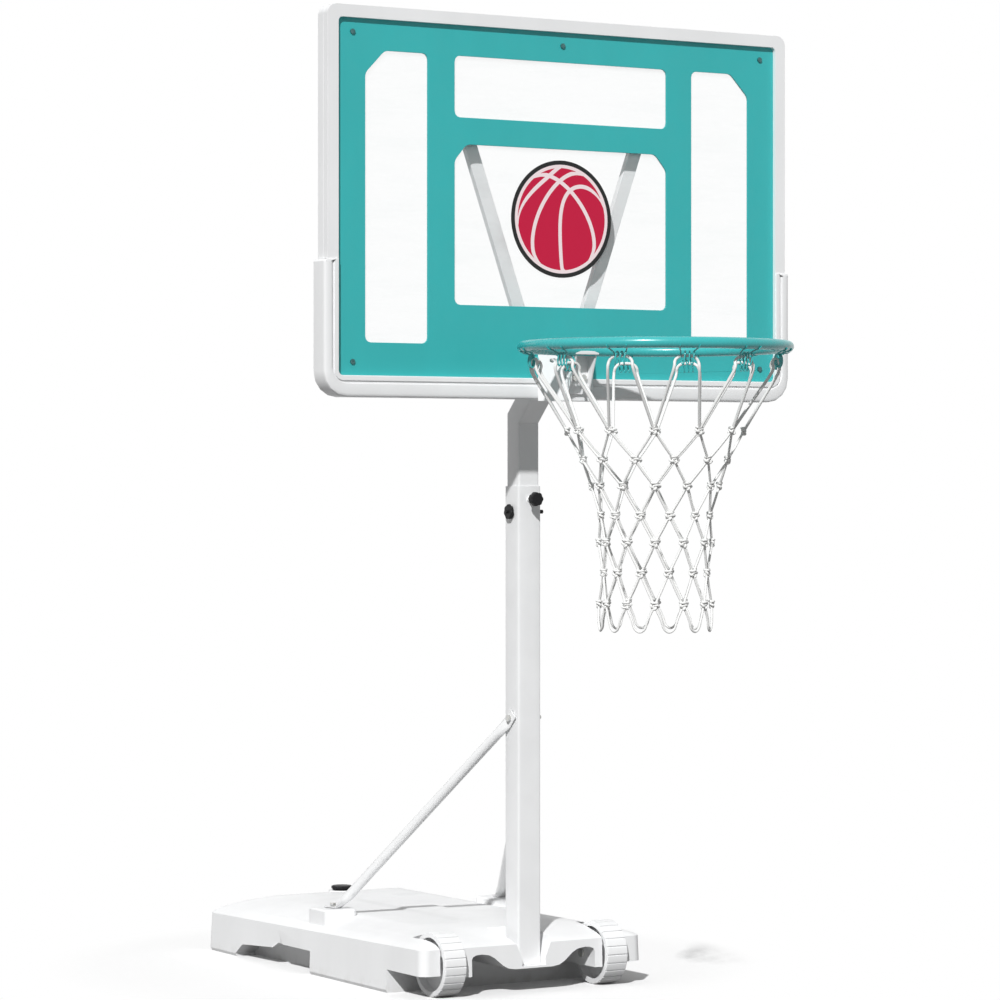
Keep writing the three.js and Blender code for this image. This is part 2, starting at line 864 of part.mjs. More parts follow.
function hook(angle, side) {
  const aside = side * hookSpread;
  const turns = Array.from({ length: hookTurns + 1 }, (_, i) => {
    const bend = (-halfTurn * i) / hookTurns;
    return ringPoint(angle, hookRadius + hookBend * Math.cos(bend), aside, hookZ + hookBend * Math.sin(bend));
  });
  return wire([ringPoint(angle, hookRadius + hookBend + hookWire, aside, rimZ), ...turns], hookWire, 4);
}

function rimBolt(side) {
  const x = side * rimBoltX;
  const tail = bracketWall + gap + boltHeadTall + boltTail;
  return bolt(rimBoltRadius, at(x, -plateFront - gap, rimBoltZ), at(x, -bracketFront + tail, rimBoltZ));
}

function rimNut(side) {
  const x = side * rimBoltX;
  const start = -bracketFront + bracketWall + gap;
  return nut(rimBoltRadius, at(x, start, rimBoltZ), at(x, start + boltHeadTall, rimBoltZ));
}

// Net: strands that zigzag down from the loops on the hooks and meet at the knots. One strand
// of each pair carries the loop over the hooks, and the other the hanging loop at the end.
function net() {
  const knotAt = (row, k) => {
    const angle = pitchAngle(k + (row % 2 ? 1 / 2 : 0));
    return ringPoint(angle, netRowRadius[row], 0, netRowZ[row]);
  };
  const last = netRowZ.length - 1;
  const strands = hookPlaces().flatMap(({ k, angle }) => {
    const top = (aside, drop) => ringPoint(angle, hookRadius, aside, hookZ - cordDrop - drop);
    const end = (aside, rise) => ringPoint(angle, netEndRadius, aside, netEndZ + rise);
    const toRight = netRowZ.map((_, row) => knotAt(row, k));
    const toLeft = netRowZ.map((_, row) => knotAt(row, row % 2 ? k : k + 1));
    return [
      [...toRight, end(-netEndHalf, netEndRise), end(0, 0), end(netEndHalf, netEndRise), knotAt(last, k + 1)],
      [
        knotAt(0, k),
        top(-topLoopHalf - topLoopShoulder, topLoopShoulder * 2),
        top(-topLoopHalf, 0),
        top(topLoopHalf, 0),
        top(topLoopHalf + topLoopShoulder, topLoopShoulder * 2),
        ...toLeft,
      ],
    ];
  });
  const cords = joined(...strands.map((points) => wire(points, cordRadius, cordSides)));
  return geometryOf(solidOf(cords), cordDetail);
}

// Square tubes: a rounded section carried through places, each with its turn about X. At a
// mitre the section is turned by half the bend and stretched to keep the tube's width.
function squareLoop(half, corner, centre, turn) {
  return rectanglePoints(-half, -half, half, half, corner, corner, 2).map((point) =>
    at(point.x, point.y / Math.cos(turn), 0).applyAxisAngle(at(1, 0, 0), turn).add(centre),
  );
}

function squareTube(wide, places) {
  const skin = (half, corner, stations) =>
    loft(stations.map(([centre, turn]) => squareLoop(half, corner, centre, turn)));
  const longer = places.map(([centre, turn]) => [centre.clone(), turn]);
  longer[0][0].z -= overrun;
  longer.at(-1)[0].z += overrun;
  return cut(skin(wide / 2, poleCorner, places), skin(wide / 2 - poleWall, poleCorner - poleWall, longer));
}

function lowerPole() {
  const tube = squareTube(lowerPoleWide, [
    [at(0, 0, lowerPoleFootZ + gap), 0],
    [at(0, 0, lowerPoleTopZ), 0],
  ]);
  const front = rod(clampRadius + holeClearance, at(0, 0, clampZ), at(0, -lowerPoleWide, clampZ));
  return cut(
    tube,
    crossHole(lockRadius, 0, lockZ),
    crossHole(strutBoltRadius, 0, strutTopZ),
    crossHole(footBoltRadius, 0, footBoltZ),
    front,
  );
}

// Upper pole: rises out of the lower one, bends forward and stands up again behind the board
function upperPole() {
  const footZ = lockZ - heightStep * heightSteps - upperPoleEnd;
  const slopeTall = poleOffset / Math.tan(poleBendAngle);
  const tube = squareTube(upperPoleWide, [
    [at(0, 0, footZ), 0],
    [at(0, 0, poleBendZ), poleBendAngle / 2],
    [at(0, -poleOffset, poleBendZ + slopeTall), poleBendAngle / 2],
    [at(0, -poleOffset, poleTopZ), 0],
  ]);
  const lockHoles = Array.from({ length: heightSteps + 1 }, (_, i) =>
    crossHole(lockRadius, 0, lockZ - heightStep * i),
  );
  const headHoles = Object.values(headBolts).map((z) => crossHole(headBoltRadius, -poleOffset, z));
  return cut(tube, ...lockHoles, ...headHoles);
}

// End cap: a lid with a hollow plug that fits inside the square tube
function poleCap() {
  const half = upperPoleWide / 2;
  const plugHalf = half - poleWall - gap;
  const hollowHalf = plugHalf - capWall;
  const square = (reach, corner) => rectangle(-reach, -reach, reach, reach, corner);
  const lid = upward(square(half, poleCorner), poleTopZ + gap, poleTopZ + gap + capTall);
  const plug = upward(square(plugHalf, poleCorner - poleWall), poleTopZ - capPlug, poleTopZ + capTall);
  const hollow = upward(square(hollowHalf, 0), poleTopZ - capPlug - overrun, poleTopZ);
  return cut(joined(lid, plug), hollow).translate(0, -poleOffset, 0);
}

// Star knobs, made standing on their neck and then laid over
const poleFace = lowerPoleWide / 2;

function starKnob(radius, thick, neckLong, boreRadius) {
  const head = new THREE.ExtrudeGeometry(lobed(radius - knobBevel, knobLobes, knobLobeShare), {
    depth: thick - 2 * knobBevel,
    bevelThickness: knobBevel,
    bevelSize: knobBevel,
    bevelSegments: 1,
  }).translate(0, 0, neckLong + knobBevel);
  const neck = post(radius * knobNeckShare, 0, 0, 0, neckLong + knobBevel * 2);
  const bore = post(boreRadius + gap, 0, 0, -overrun, neckLong + thick * boltInKnobShare + gap, coarse);
  return [joined(head, neck), bore];
}

function clampKnob() {
  const foot = poleFace + weldNutTall + gap;
  const [body, bore] = starKnob(clampKnobRadius, clampKnobThick, clampKnobIn - foot, clampRadius);
  return cut(body, bore).rotateX(quarterTurn).translate(0, -foot, clampZ);
}

function clampStud() {
  const end = clampKnobIn + clampKnobThick * boltInKnobShare;
  return rod(clampRadius, at(0, -upperPoleWide / 2 - gap, clampZ), at(0, -end, clampZ));
}

function clampNut() {
  return nut(clampRadius, at(0, -poleFace - gap, clampZ), at(0, -poleFace - weldNutTall, clampZ));
}

function lockKnob() {
  const foot = poleFace + gap;
  const top = lockKnobIn - foot + lockKnobThick;
  const [body, bore] = starKnob(lockKnobRadius, lockKnobThick, lockKnobIn - foot, lockRadius);
  const nub = post(lockNubRadius, 0, 0, top - knobBevel, top + lockNubLong, coarse);
  return cut(joined(body, nub), bore).rotateY(-quarterTurn).translate(-foot, 0, lockZ);
}

function lockBolt() {
  const end = lockKnobIn + lockKnobThick * boltInKnobShare;
  return rod(lockRadius, at(-end, 0, lockZ), at(lockRightX, 0, lockZ));
}

function lockNut() {
  return nut(lockRadius, at(poleFace + gap, 0, lockZ), at(poleFace + weldNutTall, 0, lockZ));
}

// Struts: round tubes with flattened ends, bolted to the pole and to the tank's pads
const padTopZ = crownZ + padTall;
const strutReach = poleFace + gap + strutTabThick;

function strut(side) {
  const top = at(poleFace + gap + strutTabThick / 2, 0, strutTopZ);
  const foot = at(strutFootX, strutFootY, padTopZ + gap + strutTabThick / 2);
  const rough = foot.clone().sub(top);
  const down = at(0, rough.y, rough.z).setLength(strutTabLong / 2);
  const out = at(rough.x, rough.y, 0).setLength(strutTabLong / 2);
  const upper = top.clone().add(down);
  const lower = foot.clone().sub(out);
  const along = lower.clone().sub(upper).normalize();
  const taper = along.clone().multiplyScalar(strutTaperLong);
  const sideways = at(1, 0, 0).addScaledVector(along, -along.x).setLength(strutRadius);
  const across = along.clone().cross(sideways);
  const thin = at(strutTabThick / 2, 0, 0);
  const wide = down.clone().cross(at(1, 0, 0)).setLength(strutTabHalf);
  const footWide = at(out.y, -out.x, 0).setLength(strutTabHalf);
  const footThin = out.clone().cross(footWide).setLength(strutTabThick / 2);
  const made = loft([
    ellipseLoop(top.clone().sub(down), thin, wide, coarse),
    ellipseLoop(upper, thin, wide, coarse),
    ellipseLoop(upper.clone().add(taper), sideways, across, coarse),
    ellipseLoop(lower.clone().sub(taper), sideways, across, coarse),
    ellipseLoop(lower, footWide, footThin, coarse),
    ellipseLoop(foot.clone().add(out), footWide, footThin, coarse),
  ]);
  const footHole = strutBoltRadius + holeClearance;
  const drilled = cut(
    made,
    crossHole(strutBoltRadius, 0, strutTopZ),
    post(footHole, strutFootX, strutFootY, padTopZ - overrun, padTopZ + overrun, coarse),
  );
  return side > 0 ? drilled : mirrored(drilled);
}

function strutFootScrew(side) {
  const seat = padTopZ + 2 * gap + strutTabThick;
  const x = side * strutFootX;
  return bolt(strutBoltRadius, at(x, strutFootY, seat), at(x, strutFootY, seat - footScrewDeep));
}

// Tank: a lofted shell form with a raised front end that carries the pole and the wheels
const slotIn = wheelX - wheelWide / 2 - slotGap;
const slotOut = wheelX + wheelWide / 2 + slotGap;

// Height of the crease above the side walls, which rises towards the front
function creaseAt(y) {
  return THREE.MathUtils.mapLinear(y, -tankFront, tankBack, creaseFrontZ, creaseBackZ);
}

function tankBody() {
  const loop = (inset, heightAt) => {
    const half = tankHalf - inset;
    return rectanglePoints(-half, -tankFront + inset, half, tankBack - inset, tankCorner).map((point) =>
      at(point.x, point.y, heightAt(point.y)),
    );
  };
  const shoulder = shoulderInsetShares.map((share, i) =>
    loop(share * shoulderReach, (y) => THREE.MathUtils.lerp(creaseAt(y), crownZ, shoulderRiseShares[i])),
  );
  return loft([loop(tankFootRound / 2, () => 0), loop(0, () => tankFootRound), ...shoulder]);
}

// The space under the raised front end: an arch on each side of the pole's socket
function undersideCut() {
  const right = [new THREE.Vector2(0, lipZ), new THREE.Vector2(lipHalf, lipZ)];
  const rise = archPeakX - lipHalf;
  const inner = new THREE.CubicBezierCurve(
    right[1],
    new THREE.Vector2(lipHalf + rise * archBendShare, lipZ),
    new THREE.Vector2(archPeakX - rise * archBendShare, archPeakZ),
    new THREE.Vector2(archPeakX, archPeakZ),
  );
  const outer = new THREE.QuadraticBezierCurve(
    new THREE.Vector2(archPeakX, archPeakZ),
    new THREE.Vector2(bossX, archPeakZ),
    new THREE.Vector2(bossX, bossTopZ),
  );
  right.push(...inner.getPoints(6).slice(1), ...outer.getPoints(3).slice(1));
  right.push(new THREE.Vector2(bossX, bossZ), new THREE.Vector2(wheelX, bossZ));
  right.push(new THREE.Vector2(wheelX, blockZ), new THREE.Vector2(tankHalf + overrun, blockZ));
  right.push(new THREE.Vector2(tankHalf + overrun, -overrun));
  const left = right.slice(1).reverse().map((point) => new THREE.Vector2(-point.x, point.y));
  return forward(new THREE.Shape([...right, ...left].reverse()), -archBackY, tankFront + overrun);
}

// The wheel's slot: open in front and on top, round behind the wheel
function wheelSlot(side) {
  const round = disc(wheelRadius + slotRound, wheelY, wheelRadius);
  const open = rectangle(-tankFront - overrun, -overrun, wheelY, crownZ + overrun, 0);
  return joined(across(round, side * slotIn, side * slotOut), across(open, side * slotIn, side * slotOut));
}

// The socket that the pole stands in, flaring out towards the top
function poleNotch() {
  const tight = poleFace + gap;
  const loop = (half, back, z) => [
    at(-half, -tankFront - overrun, z),
    at(half, -tankFront - overrun, z),
    at(half, back, z),
    at(-half, back, z),
  ];
  const topHalf = tight + notchTopFlare;
  return loft([
    loop(tight, tight, lowerPoleFootZ),
    loop(tight, tight, socketTopZ),
    loop(topHalf, tight + notchBackFlare, crownZ + gap),
    loop(topHalf, tight + notchBackFlare, crownZ + overrun),
  ]);
}

// Pocket round each end of the foot bolt, open below
function footPocket(side) {
  const hole = disc(footPocketRadius, 0, footBoltZ, medium);
  const mouth = rectangle(-footPocketRadius, -overrun, footPocketRadius, footBoltZ, 0);
  const span = [side * footPocketIn, side * footPocketOut];
  return joined(across(hole, ...span), across(mouth, ...span));
}

function pad(side) {
  const x = side * strutFootX;
  const loop = (grow, z) =>
    rectanglePoints(
      x - padHalfWide - grow,
      strutFootY - padLong / 2 - grow,
      x + padHalfWide + grow,
      strutFootY + padLong / 2 + grow,
      padCorner,
    ).map((point) => at(point.x, point.y, z));
  return loft([loop(padDraft, creaseBackZ), loop(padDraft, padTopZ - padDraft), loop(0, padTopZ)]);
}

function topRecess(side) {
  const nearX = Math.min(side * recessInX, side * recessOutX);
  const farX = Math.max(side * recessInX, side * recessOutX);
  const loop = (grow, z) =>
    rectanglePoints(nearX - grow, recessFrontY - grow, farX + grow, recessBackY + grow, recessCorner).map(
      (point) => at(point.x, point.y, z),
    );
  const floorZ = crownZ - recessDeep;
  return loft([loop(0, floorZ), loop(recessDraft, crownZ), loop(recessDraft, crownZ + overrun)]);
}

// Hand grip along the foot of each side wall, with a wedge-shaped groove above it
function sideGrip(side) {
  const profile = filleted([
    [gripFrontY, -overrun, 0],
    [gripBackY, -overrun, 0],
    [gripBackY, gripBackZ, 0],
    [gripTailY, gripTailZ, gripTailRound],
    [gripStepBackY, gripLowZ, gripStepRound],
    [gripStepFrontY, gripHighZ, gripStepRound],
    [gripFrontY, gripHighZ, gripStepRound],
  ]);
  const vee = (share, z) => {
    const deep = grooveDeep * share;
    const half = grooveHalf * 2 * share;
    return [
      at(tankHalf - deep, grooveY, z),
      at(tankHalf + deep, grooveY - half, z),
      at(tankHalf + deep, grooveY + half, z),
    ];
  };
  const groove = loft([vee(1, gripLowZ), vee(1, gripHighZ), vee(grooveTopShare, grooveTopZ)]);
  const made = joined(across(profile, tankHalf - gripDeep, tankHalf + overrun), groove);
  return side > 0 ? made : mirrored(made);
}

function axleHole(side) {
  const place = (reach) => at(side * reach, wheelY, wheelRadius);
  return rod(axleRadius + holeClearance, place(archPeakX), place(slotOut + axleBite + gap));
}

function baseTank() {
  const pairs = Object.values(sides);
  const neck = post(neckRadius, 0, fillerY, crownZ - neckRoot, crownZ + neckTall, fine);
  const screwHoles = pairs.map((side) =>
    post(
      strutBoltRadius + holeClearance,
      side * strutFootX,
      strutFootY,
      padTopZ - footScrewDeep,
      padTopZ + overrun,
      coarse,
    ),
  );
  return cut(
    joined(tankBody(), neck, ...pairs.map(pad)),
    undersideCut(),
    poleNotch(),
    ...pairs.map(topRecess),
    ...pairs.map(wheelSlot),
    ...pairs.map(footPocket),
    ...pairs.map(sideGrip),
    ...pairs.map(axleHole),
    ...screwHoles,
    rod(footBoltRadius + holeClearance, at(-footPocketOut, 0, footBoltZ), at(footPocketOut, 0, footBoltZ)),
    post(wellRadius, 0, fillerY, crownZ + neckTall - wellDeep, crownZ + overrun, fine),
  );
}

// Wheel: a grooved tread round a dished disc with a hub, turning on its stub axle
function wheel(side) {
  const pitch = fullTurn / wheelGrooves;
  const halfGroove = wheelGrooveWide / 2 / wheelRadius;
  const tread = Array.from({ length: wheelGrooves }, (_, i) => {
    const point = (depth, turn) => {
      const reach = wheelRadius - wheelBevel - depth;
      return new THREE.Vector2(reach * Math.cos(i * pitch + turn), reach * Math.sin(i * pitch + turn));
    };
    const bottom = [point(wheelGrooveDeep, -halfGroove), point(wheelGrooveDeep, halfGroove)];
    return [point(0, -halfGroove), ...bottom, point(0, halfGroove)];
  }).flat();
  const half = wheelWide / 2;
  const tyre = new THREE.ExtrudeGeometry(new THREE.Shape(tread), {
    depth: wheelWide - 2 * wheelBevel,
    bevelThickness: wheelBevel,
    bevelSize: wheelBevel,
    bevelSegments: 1,
  }).translate(0, 0, wheelBevel - half);
  const dishes = [half, -half].map((z) =>
    post(wheelRadius - wheelTyre, 0, 0, z - wheelDish, z + wheelDish, fine),
  );
  const hub = post(wheelHub, 0, 0, wheelHubDish - half, half - wheelHubDish);
  const bore = post(axleRadius + holeClearance, 0, 0, -wheelWide, wheelWide, coarse);
  return cut(joined(cut(tyre, ...dishes), hub), bore)
    .rotateY(quarterTurn)
    .translate(side * wheelX, wheelY, wheelRadius);
}

function axle(side) {
  const place = (reach) => at(side * reach, wheelY, wheelRadius);
  const head = rod(axleHeadRadius, place(bossX - gap - axleHeadTall), place(bossX - gap), medium);
  return joined(head, rod(axleRadius, place(bossX - gap - axleHeadTall / 2), place(slotOut + axleBite)));
}

// Filler gasket and cap
const neckTopZ = crownZ + neckTall;
const gasketTopZ = neckTopZ + gap + gasketThick;

function fillerGasket() {
  const ring = post(gasketRadius, 0, fillerY, neckTopZ + gap, gasketTopZ, fine);
  return cut(ring, post(wellRadius, 0, fillerY, neckTopZ - overrun, neckTopZ + overrun, fine));
}

function fillerCap() {
  const lidZ = gasketTopZ + gap;
  const lid = new THREE.ExtrudeGeometry(lobed(capRadius - knobBevel, capLobes, capLobeShare, 3), {
    depth: capLidTall - 2 * knobBevel,
    bevelThickness: knobBevel,
    bevelSize: knobBevel,
    bevelSegments: 1,
  }).translate(0, 0, lidZ + knobBevel);
  const plug = post(capPlugRadius, 0, 0, lidZ - capPlugLong, lidZ + knobBevel * 2);
  const hollow = post(capPlugRadius - capPlugWall, 0, 0, lidZ - capPlugLong - overrun, lidZ + knobBevel);
  return cut(joined(lid, plug), hollow).translate(0, fillerY, 0);
}

// Board
add("front_frame", frontFrame(), whitePlastic);
add("rear_frame", rearFrame(), whitePlastic);
add("bumper", bumper(), whitePlastic);
add("lattice_panel", latticePanel(), tealPlastic);
add("clear_sheet", clearSheet(), clearPlastic);
add("ball_print", ballPrint(), redPrint);
for (const [name, place] of Object.entries(panelScrews)) add(`panel_screw_${name}`, panelScrew(place), zinc);

// Arms, head bracket and rim bracket
addPair("arm", whitePaint, arm);
addPair("arm_screw", zinc, armScrew);
add("head_bracket", headBracket(), whitePaint);
for (const [name, z] of Object.entries(headBolts)) {
  add(`head_bolt_${name}`, crossBolt(headBoltRadius, -poleOffset, z, cheekOut), zinc);
  add(`head_nut_${name}`, crossNut(headBoltRadius, -poleOffset, z, cheekOut), zinc);
}
add("rim_bracket", rimBracket(), whitePaint);
for (const [name, place] of Object.entries(bracketBolts)) {
  add(`bracket_bolt_${name}`, bracketBolt(place), zinc);
  add(`bracket_nut_${name}`, bracketNut(place), zinc);
}

// Rim and net
add("rim", rim(), tealPaint);
addPair("rim_bolt", zinc, rimBolt);
addPair("rim_nut", zinc, rimNut);
add("net", net(), cordWhite);

// Poles, knobs and struts
add("upper_pole", upperPole(), whitePaint);
add("pole_cap", poleCap(), blackPlastic);
add("lower_pole", lowerPole(), whitePaint);
add("clamp_nut", clampNut(), whitePaint);
add("clamp_stud", clampStud(), zinc);
add("clamp_knob", clampKnob(), blackPlastic);
add("lock_nut", lockNut(), whitePaint);
add("lock_bolt", lockBolt(), blackPlastic);
add("lock_knob", lockKnob(), blackPlastic);
addPair("strut", whitePaint, strut);
add("strut_bolt", crossBolt(strutBoltRadius, 0, strutTopZ, strutReach), zinc);
add("strut_nut", crossNut(strutBoltRadius, 0, strutTopZ, strutReach), zinc);
addPair("strut_foot_screw", zinc, strutFootScrew);

// Base
add("base_tank", baseTank(), whitePlastic);
addPair("wheel", whitePlastic, wheel);
addPair("axle", zinc, axle);
add("foot_bolt", crossBolt(footBoltRadius, 0, footBoltZ, footPocketIn), zinc);
add("foot_nut", crossNut(footBoltRadius, 0, footBoltZ, footPocketIn), zinc);
add("filler_gasket", fillerGasket(), blackPlastic);
add("filler_cap", fillerCap(), blackPlastic);

// The origin is the middle of the flat underside, between the arch's back and the tank's
hoop.position.y = -(archBackY + tankBack) / 2;

export default hoop;
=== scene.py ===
"""A poolside basketball hoop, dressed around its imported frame.

Every length is in metres in the frame's own axes: +Z is up, +X runs to the right along the
board, and the water lies on the -Y side.
"""
from __future__ import annotations

import functools
import logging
import math
from dataclasses import dataclass, field
from enum import Enum
from typing import Any, Callable, Sequence

import bmesh
import bpy
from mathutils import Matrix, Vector


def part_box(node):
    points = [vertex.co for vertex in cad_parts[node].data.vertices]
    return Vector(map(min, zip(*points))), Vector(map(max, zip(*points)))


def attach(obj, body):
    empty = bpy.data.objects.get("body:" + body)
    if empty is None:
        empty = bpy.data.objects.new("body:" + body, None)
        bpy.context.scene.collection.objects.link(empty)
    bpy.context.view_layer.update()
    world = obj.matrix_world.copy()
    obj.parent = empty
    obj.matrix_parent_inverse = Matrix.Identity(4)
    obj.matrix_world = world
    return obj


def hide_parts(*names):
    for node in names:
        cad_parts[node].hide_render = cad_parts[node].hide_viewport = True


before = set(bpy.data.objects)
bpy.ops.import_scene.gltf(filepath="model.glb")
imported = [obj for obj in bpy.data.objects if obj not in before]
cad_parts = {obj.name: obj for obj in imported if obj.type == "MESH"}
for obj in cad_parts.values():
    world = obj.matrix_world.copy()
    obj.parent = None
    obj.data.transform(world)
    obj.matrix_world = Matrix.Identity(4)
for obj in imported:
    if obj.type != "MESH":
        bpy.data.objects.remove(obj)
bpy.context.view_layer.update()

LOG = logging.getLogger("hoop")
MM = 0.001
POLE_Y = -466.5 * MM
TAU = 2 * math.pi
SIDES = ("left", "right")
WELD_REACH = 0.004 * MM
FLAT_TURN = math.radians(0.6)
ROUNDED_TURN = math.radians(28)
SHARP_TURN = math.radians(38)
TUBE_SHARP_TURN = math.radians(50)
FLAT_FACE_WEIGHT = 80
Colour = tuple[float, float, float, float]
Pair = tuple[float, float]
Triple = tuple[float, float, float]
Piece = bpy.types.Object


class Body(Enum):
    """The moving groups of the hoop."""

    BASE = "base"
    MAST = "mast"
    WHEEL_LEFT = "wheel_left"
    WHEEL_RIGHT = "wheel_right"
    CLAMP_SCREW = "clamp_screw"
    CLAMP_HANDLE = "clamp_handle"
    LOCK_PIN = "lock_pin"
    LOCK_HANDLE = "lock_handle"
    CAP_SEAL = "cap_seal"
    CAP = "cap"


class Slot(Enum):
    """The record's material slots."""

    WHITE_PLASTIC = "white_plastic"
    WHITE_PAINT = "white_paint"
    TEAL_PLASTIC = "teal_plastic"
    TEAL_PAINT = "teal_paint"
    BLACK_PLASTIC = "black_plastic"
    ZINC = "zinc_steel"
    CLEAR = "clear_plastic"
    RED_PRINT = "red_print"
    CORD = "white_cord"


# Shader graphs


def operator(operation: str) -> Callable[..., Value]:
    """Returns a method that feeds a Value, and any others, to a Math node."""
    return lambda self, *others: self.math(operation, self, *others)


class Value:
    """A node's output socket that takes part in arithmetic."""

    def __init__(self, graph: Graph, socket: bpy.types.NodeSocket) -> None:
        """Keeps the graph and the socket."""
        self.graph = graph
        self.socket = socket

    def math(self, operation: str, *values: Any) -> Value:
        """Returns the result of a Math node that is fed with numbers or Values."""
        return self.graph.node("Math", {"operation": operation}, dict(enumerate(values)))

    __add__ = operator("ADD")
    __sub__ = operator("SUBTRACT")
    __mul__ = operator("MULTIPLY")
    __truediv__ = operator("DIVIDE")
    __pow__ = operator("POWER")
    __abs__ = operator("ABSOLUTE")
    sine = operator("SINE")
    sign = operator("SIGN")
    larger = operator("MAXIMUM")
    smaller = operator("MINIMUM")

    def __rsub__(self, other: Any) -> Value:
        """Returns other - self."""
        return self.math("SUBTRACT", other, self)

    def across(self, other: Value) -> Value:
        """Returns the long side of a right triangle with the sides self and other."""
        return (self * self + other * other) ** 0.5

    def ramp(self, low: float, high: float) -> Value:
        """Returns 0 below low, 1 above high, and a smooth step between; low may be the larger."""
        smooth = {"interpolation_type": "SMOOTHSTEP"}
        return self.graph.node("MapRange", smooth, {0: self, 1: low, 2: high})

    def scaled(self, low: float, high: float) -> Value:
        """Returns low where self is 0 and high where it is 1."""
        return self * (high - low) + low

    def blend(self, other: Value, share: float) -> Value:
        """Returns self with a share of other mixed in."""
        return self * (1 - share) + other * share


class Graph:
    """A node tree that is filled in node by node."""

    def __init__(self, tree: bpy.types.NodeTree) -> None:
        """Keeps the tree."""
        self.tree = tree

    def node(
        self,
        kind: str,
        settings: dict[str, Any] | None = None,
        inputs: dict[Any, Any] | None = None,
        result: int | str = 0,
    ) -> Value:
        """Adds a node of any type.

        Args:
            kind: the node's type, without its ShaderNode.
            settings: its own settings, set before its sockets.
            inputs: numbers or Values by socket name or place.
            result: which output is wanted.

        Returns:
            That output.
        """
        node = self.tree.nodes.new(f"ShaderNode{kind}")
        for key, value in (settings or {}).items():
            setattr(node, key, value)
        for key, value in (inputs or {}).items():
            self.feed(node.inputs[key], value)
        return Value(self, node.outputs[result])

    def feed(self, socket: bpy.types.NodeSocket, value: Any) -> None:
        """Links a Value to a socket, or sets the socket to a number."""
        if isinstance(value, Value):
            self.tree.links.new(value.socket, socket)
        else:
            socket.default_value = value

    def axes(self, vector: Value) -> tuple[Value, Value, Value]:
        """Returns the three numbers of a vector."""
        split = self.node("SeparateXYZ", inputs={0: vector}).socket.node
        return tuple(Value(self, split.outputs[i]) for i in range(3))

    def in_sight(self) -> Value:
        """Returns 1 for what is seen, straight or by way of gloss or glass, and 0 for bounces."""
        seen = self.node("LightPath", result="Is Camera Ray")
        for name in ("Is Glossy Ray", "Is Transmission Ray"):
            seen = seen.larger(self.node("LightPath", result=name))
        return seen


class Skin(Graph):
    """One material's node tree, with a Principled shader to fill in."""

    def __init__(self, name: str) -> None:
        """Makes a material that has only its shader and output."""
        self.material = bpy.data.materials.new(name)
        self.material.use_nodes = True
        super().__init__(self.material.node_tree)
        self.tree.nodes.clear()
        self.shader = self.tree.nodes.new("ShaderNodeBsdfPrincipled")
        self.output = self.tree.nodes.new("ShaderNodeOutputMaterial")
        self.tree.links.new(self.shader.outputs[0], self.output.inputs[0])

    def set(self, **sockets: Any) -> None:
        """Fills in the shader's sockets, named with _ for each space."""
        for key, value in sockets.items():
            self.feed(self.shader.inputs[key.replace("_", " ")], value)

    def place(self) -> Value:
        """Returns the point's place on the object, in metres."""
        return self.node("TexCoord", result="Object")

    def noise(self, scale: float, detail: float = 2, vector: Value | None = None) -> Value:
        """Returns noise from 0 to 1, with scale features to the metre."""
        inputs = {"Vector": vector or self.place(), "Scale": scale, "Detail": detail}
        return self.node("TexNoise", None, inputs)

    def mix(self, factor: Any, first: Any, second: Any) -> Value:
        """Returns first where factor is 0 and second where it is 1, as colours."""
        return self.node("Mix", {"data_type": "RGBA"}, {0: factor, 6: first, 7: second}, 2)

    def bump(self, height: Value, distance: float, strength: float = 1) -> None:
        """Feeds the shader's normal from a height that spans distance metres."""
        inputs = {"Height": height, "Distance": distance, "Strength": strength}
        self.set(Normal=self.node("Bump", None, inputs))


@dataclass(frozen=True)
class Patches:
    """Soft patches from 0 to 1, cut out of noise between two levels."""

    scale: float
    detail: float
    low: float
    high: float
    stretch: Triple | None = None

    def on(self, skin: Skin) -> Value:
        """Returns the patches on a material."""
        vector = skin.place()
        if self.stretch:
            axis_by_axis = {"operation": "MULTIPLY"}
            vector = skin.node("VectorMath", axis_by_axis, {0: vector, 1: self.stretch})
        return skin.noise(self.scale, self.detail, vector).ramp(self.low, self.high)


def tint(colour: Sequence[float], amount: float) -> Colour:
    """Returns a colour made lighter or darker by a share."""
    return (*(min(1.0, part * amount) for part in colour[:3]), 1.0)


# Finishes


@dataclass(frozen=True)
class Finish:
    """What every finish has: a name, a plain colour and the record's slot."""

    name: str
    colour: Colour
    slot: Slot

    def dress(self, skin: Skin) -> None:
        """Fills in a material."""
        raise NotImplementedError

    def drifting(self, skin: Skin, patches: Patches, tints: Pair) -> Value:
        """Returns the colour, drifting between two tints of it."""
        first, second = (tint(self.colour, amount) for amount in tints)
        return skin.mix(patches.on(skin), first, second)


